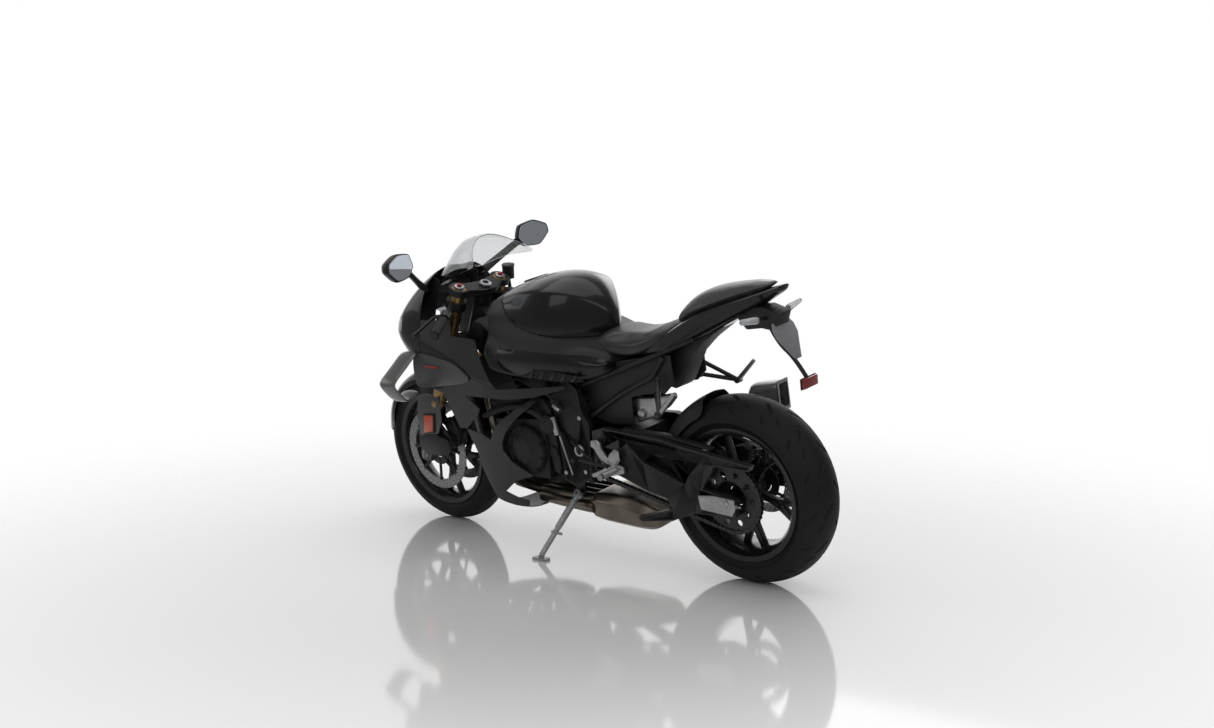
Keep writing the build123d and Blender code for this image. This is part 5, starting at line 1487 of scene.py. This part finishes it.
    def radiator(self) -> None:
        """Core with its tubes, and its tanks."""
        dress(RADIATOR_FINS, "radiator")
        tank = Bench.plate(((1154, 694), (1100, 432), (1080, 436), (1134, 698)), 150, 168, 4)
        bars, gaps = [], 25
        for index in range(gaps + 1):
            share = index / gaps
            x, z = 1153 - 52 * share, 684 - 250 * share
            bars.append(
                Bench.plate(((x + 3, z), (x + 3, z + 2.4), (x - 2, z + 2.4), (x - 2, z)), -150,
                150, 0))
        Bench.pair("radiator_tanks", tank, CAST_GREY, "engine_dark")
        Bench.show("radiator_core_tubes", bars, RADIATOR_FINS, "engine_dark")

    def exhaust(self) -> None:
        """Headers, collector box and silencer."""
        dress(TITANIUM, "exhaust_headers")
        box = Bench.cage(
            [ring(x, half) for x, half in self.box], closed=True, levels=3,
            creases={column: 0.55 for column in range(1, 10) if column != 5})
        feed = Bench.tube(((900, 66, 190), (800, 74, 188), (690, 80, 186), (630, 84, 188)), 22)
        bead = Bench.both(
            Bench.tube(((634, 97, 214), (460, 108, 214), (370, 105, 196), (330, 72, 188)), 2.4))
        Bench.show("exhaust_box_shell", [box, feed, bead], TITANIUM, "titanium", ["exhaust_box"])
        rows, corners, squareness = [], 16, 0.55
        for x, w, low, top in (
                (306, 30, 44, 20), (300, 40, 52, 24), (230, 42, 60, 26), (154, 38, 62, 28),
                (122, 34, 58, 58), (98, 33, 54, 88), (50, 33, 50, 72), (10, 33, 50, 53),
                (0, 32, 49, 51)):
            row = []
            for step in range(corners):
                angle = 2 * math.pi * step / corners
                c, s = math.cos(angle), math.sin(angle)
                up = (top if s > 0 else low) * math.copysign(abs(s) ** squareness, s)
                row.append((
                    x - 0.5 * up * max(0, 1 - x / 40), w * math.copysign(abs(c) ** squareness, c),
                    up))
            rows.append(row)
        shell = Bench.cage(rows, closed=True, levels=2)
        hole = Bench.plate(((-40, -38), (-40, 38), (62, 38), (62, -38)), -25, 25, 8)
        Bench.cut(shell, hole)
        place = Matrix.Translation((-22, -198, 588)) @ Matrix.Rotation(math.radians(27), 4, "Y")
        shell.data.transform(place)
        Bench.show("silencer_skin", shell, SILENCER_SKIN, "silencer_grey", ["silencer"])
        rim = Bench.plate(((21, -48), (-23, 50), (-13, 50), (31, -48)), -32, 32, 3)
        Bench.cut(rim, Bench.plate(((-40, -37), (-40, 38), (62, 38), (62, -37)), -24, 24, 8))
        rim.data.transform(place)
        Bench.show("silencer_mouth_rim", rim, ALLOY, "silencer_grey")
        # Near-black outlet pipe: the soot that it has, and painted shade in its hollow.
        core = Bench.bar((58, 0, 0), (30, 0, 0), 24, 32, 1)
        Bench.cut(core, Bench.bar((70, 0, 0), (20, 0, 0), 20, 32, 0))
        core.data.transform(place)
        Bench.show("silencer_outlet_pipe", core, SOOT_AND_PAINTED_SHADE, "silencer_grey")
        link = Bench.tube((
            (430, -70, 190), (386, -140, 200), (330, -176, 250), (270, -188, 360),
            (232, -196, 438)), 23, 5)
        Bench.show("silencer_pipe", link, TITANIUM, "titanium")

    def build(self) -> None:
        """Makes the middle of the motorcycle."""
        self.frame()
        self.engine()
        self.radiator()
        self.exhaust()


# ---------------------------------------------------------------------------- rear end
@dataclass
class RearEnd:
    """Swingarm, hugger, shock, axle plates, tail gear, footrests and stand."""

    def swingarm(self) -> None:
        """Trussed left arm, plain right arm, axle plates and chain adjusters."""
        left = Bench.plate((
            (548, 498), (500, 512), (395, 508), (252, 500), (60, 474), (-112, 454), (-104, 436),
            (32, 436), (89, 350), (-3, 338), (-46, 330), (-38, 272), (126, 262), (222, 222),
            (363, 196), (378, 212), (222, 262), (242, 298), (319, 311), (440, 350), (548, 358)),
            123, 147, 4, 3)
        for hole in (
                ((330, 414), (296, 446), (246, 446), (160, 358)),
                ((206, 440), (140, 442), (138, 392)),
                ((420, 486), (396, 470), (440, 440), (500, 446))):
            Bench.without(left, hole, 100, 170)
        right = Bench.plate((
            (548, 498), (395, 505), (60, 420), (-46, 352), (-46, 292), (126, 282), (319, 311),
            (440, 350), (548, 358)), -147, -123, 5, 3)
        Bench.show("swingarm_beams", [left, right], ARM_METAL, "frame_black")
        dress(ARM_METAL, "swingarm")
        slider = Bench.plate(
            ((104, 330), (96, 282), (-30, 276), (-44, 300), (-42, 334), (40, 338)), 147, 155, 3)
        Bench.cut(slider, Bench.pin(0, 320, 140, 170, 14.5, 32, 0))
        nut = Bench.turned(
            ((8, 146), (17, 146), (20, 155), (20, 158), (16, 160), (8, 160)), (0, 0, 320), 6)
        other = Bench.plate(((58, 338), (-43, 338), (-40, 302), (56, 302)), -155, -147, 3)
        Bench.cut(other, Bench.pin(0, 320, -140, -170, 9, 32, 0))
        end = Bench.pin(0, 320, 140, 163, 8, 24)
        Bench.show("rear_axle_plates", [slider, nut, other, end], ALLOY, "bare_alu", ["rear_axle"])
        adjuster = [
            Bench.bar((-44, 151, 312), (-66, 151, 311), 4, 12, 0.6),
            Bench.bar((-46, 151, 312), (-52, 151, 312), 7.5, 6, 0.6)]
        Bench.show("chain_adjusters", adjuster, STEEL, "bare_alu")

    def hugger(self) -> None:
        """Guard over the front of the rear tyre, with its chain guard."""
        rows = []
        for degrees in (26, 34, 43, 52, 61, 69):
            angle = math.radians(degrees)
            rows.append([
                (radius * math.cos(angle), place, 320 + radius * math.sin(angle))
                for place, radius in ((-95, 282), (-62, 334), (-30, 341), (0, 344), (30, 341),
                (62, 334), (95, 282))])
        sheet = Bench.cage(rows, levels=2, creases={1: 0.5, 5: 0.5})
        Bench.thicken(sheet, 2.6, (0.4, 0, 1))
        guard = Bench.plate(
            ((440, 500), (430, 512), (250, 510), (60, 486), (60, 478), (250, 500)), 96, 124, 2)
        web = Bench.plate((
            (378, 398), (330, 440), (246, 448), (234, 402), (262, 376), (300, 358), (350, 350)),
            96, 100, 1.5)
        Bench.show("rear_hugger_skin", [sheet, guard, web], PLASTIC, "matt_black", ["rear_hugger"])

    def shock(self) -> None:
        """Damper, its spring, red rings and reservoir."""
        low, high = Vector((420, 0, 520)), Vector((478, 0, 650))
        run = (high - low).normalized()
        body = [
            Bench.bar(low, high, 17, 32),
            Bench.bar((470, 0, 640), (486, 0, 672), 16, 24),
            Bench.bar((380, 36, 575), (440, 52, 590), 22, 32, 3),
            Bench.plate((
                (401, 612), (330, 618), (236, 640), (232, 622), (266, 588), (322, 550), (352, 538),
                (401, 520)), 44, 74, 7, 3),
            Bench.pin(372, 560, 60, 84, 15, 24, 3)]
        Bench.show("shock_body", body, ALLOY, "shock_metal", ["rear_shock"])
        points, steps, per_turn, coil = [], 80, 13, 25
        across = Vector((0, 1, 0))
        side = run.cross(across).normalized()
        for step in range(steps + 1):
            turn = 2 * math.pi * step / per_turn
            points.append(
                low + run * (10 + 108 * step / steps) + side * (coil * math.cos(turn)) + across *
                (coil * math.sin(turn)))
        spring = Bench.tube([tuple(p) for p in points], 4.6, 3)
        Bench.show("shock_spring", spring, SATIN_BLACK, "shock_metal")
        rings = [
            Bench.bar(low + run * 116, low + run * 126, 29.5, 32, 1.5),
            Bench.bar(low + run * 2, low + run * 9, 29.5, 32, 1.5)]
        Bench.show("shock_rings", rings, RED_TRIM, "shock_metal")

    def footrests(self) -> None:
        """Rider's and passenger's footrests with their plates, and the pedals."""
        plate = Bench.plate((
            (546, 468), (520, 475), (504, 463), (500, 440), (478, 414), (440, 398), (408, 388),
            (406, 366), (450, 354), (500, 341), (553, 334), (557, 348), (520, 363), (494, 376),
            (512, 408), (530, 436), (547, 448)), 149, 165, 4.5, 3)
        heel = Bench.plate(
            ((474, 404), (436, 390), (416, 412), (418, 446), (436, 452), (462, 430)), 164, 167, 1)
        Bench.pair("peg_plates", [plate, heel], ALLOY, "bare_alu", ["rider_pegs"])
        peg = Bench.turned(
            [(0.01, 0)] + [(11.5 if i % 2 else 9.8, i * 3.4) for i in range(22)] + [(12.5, 75),
            (12.5, 80), (0.01, 80)], (446, 162, 374), 24)
        Bench.pair("rider_peg_bars", peg, STEEL, "bare_alu")
        lever = [
            Bench.tube(((470, 172, 386), (540, 180, 396), (600, 182, 402)), 6),
            Bench.pin(600, 402, 172, 206, 8, 20, 1.5),
            Bench.bar((540, 172, 398), (640, 158, 455), 4.5, 14)]
        Bench.show("shift_lever", lever, SATIN_BLACK, "bare_alu")
        pedal = [
            Bench.tube(((470, -172, 386), (540, -180, 380), (606, -184, 378)), 6.5),
            Bench.pin(606, 378, -172, -208, 9, 20, 1.5)]
        Bench.show("brake_pedal", pedal, SATIN_BLACK, "bare_alu")
        joint = Vector((178, 218, 617))
        frame = [
            Bench.bar((250, 122, 702), joint, 7.5, 20),
            Bench.bar((262, 122, 656), joint, 7.5, 20),
            Bench.bar((262, 120, 648), (248, 120, 712), 8, 20),
            Bench.bar(joint + Vector((0, -12, 0)), joint + Vector((0, 14, 0)), 11, 24, 2)]
        Bench.pair("passenger_hangers", frame, ARM_METAL, "bare_alu", ["passenger_peg_hangers"])
        foot = Bench.bar(joint + Vector((-4, 0, 4)), (106, 222, 692), 9, 20, 3, 7)
        Bench.pair("passenger_pegs", foot, ALLOY, "bare_alu")

    def tail_gear(self) -> None:
        """Plate hanger, its flap, the indicators and the red reflector."""
        fender = Bench.plate((
            (296, 752), (286, 690), (262, 654), (240, 650), (222, 666), (196, 712), (163, 770),
            (110, 818), (32, 872), (-60, 918), (-60, 926), (60, 866), (190, 796)), -45, 45, 6, 3)
        Bench.show("inner_fender_shell", fender, PLASTIC, "matt_black", ["rear_inner_fender"])
        hanger = Bench.plate((
            (-30, 905), (-62, 868), (-120, 876), (-150, 872), (-176, 884), (-190, 926),
            (-130, 945), (-60, 940)), -38, 38, 5)
        arm = Bench.tube(((-150, 34, 890), (-176, 34, 836), (-222, 12, 782), (-256, 0, 712)), 7)
        Bench.show("plate_hanger_body", [hanger, arm], PLASTIC, "matt_black", ["plate_hanger"])
        top, low = Vector((-170, 0, 892)), Vector((-226, 0, 780))
        along = (low - top).normalized()
        across = Vector((0, 1, 0))
        out = along.cross(across)
        flap = Bench.plate((
            (-46, 4), (46, 4), (58, -16), (58, -46), (16, -126), (-16, -126), (-58, -46),
            (-58, -16)), -2, 2, 0.8)
        basis = Matrix((across, out, -along)).transposed().to_4x4()
        flap.data.transform(Matrix.Translation(top) @ basis)
        Bench.show("plate_flap", flap, FLAP_GREY, "matt_grey")
        # The red reflector glows faintly: painted light, not a lamp.
        red = Bench.plate(((-266, 690), (-266, 722), (-258, 722), (-258, 690)), -40, 40, 1.5)
        Bench.show("rear_reflector", red, RED_LENS, "lamp_red", ["rear_lamps"])
        back = Bench.plate(((-258, 688), (-258, 724), (-253, 724), (-253, 688)), -42, 42, 1)
        stalk = Bench.bar((-142, 36, 911), (-142, 92, 916), 6, 16)
        head = Bench.bar((-142, 86, 915), (-138, 164, 925), 12, 24, 4, 9)
        Bench.show("signal_stalks", [Bench.both(stalk), back], SATIN_BLACK, "lamp_red")
        Bench.pair("signal_lenses", head, SIGNAL_LENS, "lamp_red")

    def build(self) -> None:
        """Makes the rear end."""
        self.swingarm()
        self.hugger()
        self.shock()
        self.footrests()
        self.tail_gear()
        dress(STAND_PAINT, "side_stand")
        pivot, foot = Vector((685, 108, 236)), Vector((728, 288, 60))
        run = foot - pivot
        sleeve = [
            Bench.bar(pivot + run * 0.10, pivot + run * 0.55, 13, 28, 3, 11.5),
            Bench.bar(
                pivot + run * 0.60 + Vector((10, 10, 0)),
                pivot + run * 0.60 + Vector((-34, 6, -4)), 5)]
        Bench.show("stand_sleeve", sleeve, STAND_PAINT, "stand_steel", body=Body.SIDE_STAND)


# ---------------------------------------------------------------------------- cockpit
@dataclass
class Cockpit:
    """Display with its stay, in front of the rider."""

    def build(self) -> None:
        """Makes the cockpit."""
        dress(PLASTIC, "cockpit_stay")
        dress(SATIN_BLACK, "display")
        glass = Bench.plate(
            ((1280.6, 960), (1280.6, 1026), (1282.2, 1026), (1282.2, 960)), -70, 70, 0.6)
        move = Matrix.Translation((1290, 0, 992))
        glass.data.transform(move @ Matrix.Rotation(math.radians(-40), 4, "Y") @ move.inverted())
        Bench.show("display_glass", glass, DISPLAY, "display_face")


# ---------------------------------------------------------------------------- studio
@dataclass
class Studio:
    """Pale floor, soft light and the photo's viewpoint.

    aim: point that the camera looks at. lamps: name, place, aim, width, height and power.
    """

    aim: Point
    lens: float = 42.7
    azimuth: float = 221.10
    elevation: float = 6.65
    distance: float = 5.1758
    fill: float = 0.30
    lamps: Sequence[Tuple[str, Point, Point, float, float, float]] = (
        ("overhead", (0.0, 0.0, 4.2), (0.0, 0.0, 0.5), 5.0, 3.6, 58.0),
        ("left_bank", (-1.5, 4.0, 2.6), (0.0, 0.0, 0.6), 3.6, 1.6, 20.0),
        ("front_bank", (4.2, 1.8, 2.2), (0.3, 0.0, 0.6), 2.6, 1.8, 16.0),
        ("rear_bank", (-4.0, 1.0, 2.4), (-0.3, 0.0, 0.6), 2.6, 1.6, 14.0),
        ("right_bank", (0.5, -4.2, 2.8), (0.0, 0.0, 0.6), 3.6, 1.6, 22.0),
    )

    def world(self) -> None:
        """White for the camera, grey for reflections and fill."""
        scene = bpy.context.scene
        world = bpy.data.worlds.new("studio_world")
        scene.world = world
        world.use_nodes = True
        tree = world.node_tree
        tree.nodes.clear()
        path, white, fill, mix, place, facing, ramp, seen, out = add_nodes(
            tree, "LightPath", "Background", "Background", "MixShader", "TexCoord", "VectorMath",
            "MapRange", "Math", "OutputWorld")
        white.inputs["Color"].default_value = (1.0, 1.0, 1.0, 1.0)
        az = math.radians(self.azimuth)
        facing.operation = "DOT_PRODUCT"
        facing.inputs[1].default_value = (-math.sin(az), math.cos(az), 0.0)
        ramp.interpolation_type = "SMOOTHSTEP"
        for key, value in (
                ("From Min", 0.55), ("From Max", 0.92), ("To Min", self.fill), ("To Max", 1.5)):
            ramp.inputs[key].default_value = value
        seen.operation = "MAXIMUM"
        wire(tree, (place, "Generated", facing, 0), (facing, "Value", ramp, "Value"),
             (ramp, "Result", fill, "Strength"), (path, "Is Camera Ray", seen, 0),
             (path, "Is Transmission Ray", seen, 1), (seen, "Value", mix, "Fac"),
             (fill, "Background", mix, 1), (white, "Background", mix, 2),
             (mix, "Shader", out, "Surface"))
        scene.view_settings.view_transform = "Standard"
        scene.view_settings.look = "None"

    def floor(self) -> None:
        """Pale, slightly glossy floor that fades into the white background."""
        Bench.clear()
        bpy.ops.mesh.primitive_plane_add(size=40.0, location=(0, 0, -0.0005))
        floor = Bench.newest()
        floor.name = "studio_floor"
        made = bpy.data.materials.new("studio_floor")
        made.use_nodes = True
        shader = made.node_tree.nodes["Principled BSDF"]
        shader.inputs["Base Color"].default_value = (0.93, 0.93, 0.93, 1.0)
        shader.inputs["Roughness"].default_value = 0.075
        shader.inputs["Specular IOR Level"].default_value = 1.0
        tree = made.node_tree
        place, length, ramp, clear, mix = add_nodes(
            tree, "TexCoord", "VectorMath", "MapRange", "BsdfTransparent", "MixShader")
        length.operation = "LENGTH"
        ramp.interpolation_type = "SMOOTHSTEP"
        ramp.inputs["From Min"].default_value, ramp.inputs["From Max"].default_value = 0.9, 3.4
        wire(tree, (place, "Object", length, 0), (length, "Value", ramp, "Value"),
             (ramp, "Result", mix, "Fac"), (shader, "BSDF", mix, 1), (clear, "BSDF", mix, 2),
             (mix, "Shader", tree.nodes["Material Output"], "Surface"))
        floor.data.materials.append(made)

    def light(self) -> None:
        """Soft boxes."""
        for name, place, aim, width, height, power in self.lamps:
            data = bpy.data.lights.new(name, "AREA")
            data.shape = "RECTANGLE"
            data.size, data.size_y, data.energy = width, height, power
            lamp = bpy.data.objects.new(name, data)
            bpy.context.collection.objects.link(lamp)
            lamp.location = place
            lamp.rotation_euler = (Vector(aim) - Vector(place)).to_track_quat("-Z", "Y").to_euler()
            lamp.visible_camera = False

    def camera(self) -> None:
        """The photo's viewpoint."""
        data = bpy.data.cameras.new("camera")
        data.lens = self.lens
        data.sensor_width = 36.0
        data.clip_end = 100.0
        camera = bpy.data.objects.new("camera", data)
        bpy.context.collection.objects.link(camera)
        az, el = math.radians(self.azimuth), math.radians(self.elevation)
        away = Vector((math.sin(az) * math.cos(el), -math.cos(az) * math.cos(el), math.sin(el)))
        camera.location = Vector(self.aim) + away * self.distance
        camera.rotation_euler = (-away).to_track_quat("-Z", "Y").to_euler()
        bpy.context.scene.camera = camera

    def build(self) -> None:
        """Sets the studio up."""
        self.world()
        self.floor()
        self.light()
        self.camera()


def main() -> None:
    """Builds the motorcycle's looks and its studio."""
    logging.basicConfig(level=logging.INFO, format="%(name)s: %(message)s")
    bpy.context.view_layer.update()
    low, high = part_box("rear_tyre")
    assemblies = (
        Fairing(), Winglets(), Tank(), Seats(), Screen(), Mirrors(),
        Wheel("front", Body.FRONT_WHEEL, FRONT_AXLE, 300.0, 60.0, 62.0, 50.0, 58.0, 12.0),
        Wheel("rear", Body.REAR_WHEEL, REAR_AXLE, 320.0, 95.0, 104.0, 82.0, 70.0, 14.0),
        Brakes(), Chain(), FrontEnd(), Middle(), RearEnd(), Cockpit())
    for assembly in assemblies:
        assembly.build()
    Studio(aim=tuple((Vector(low) + Vector(high)) / 2 + AIM_FROM_REAR)).build()
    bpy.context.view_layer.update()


if __name__ == "__main__":
    main()
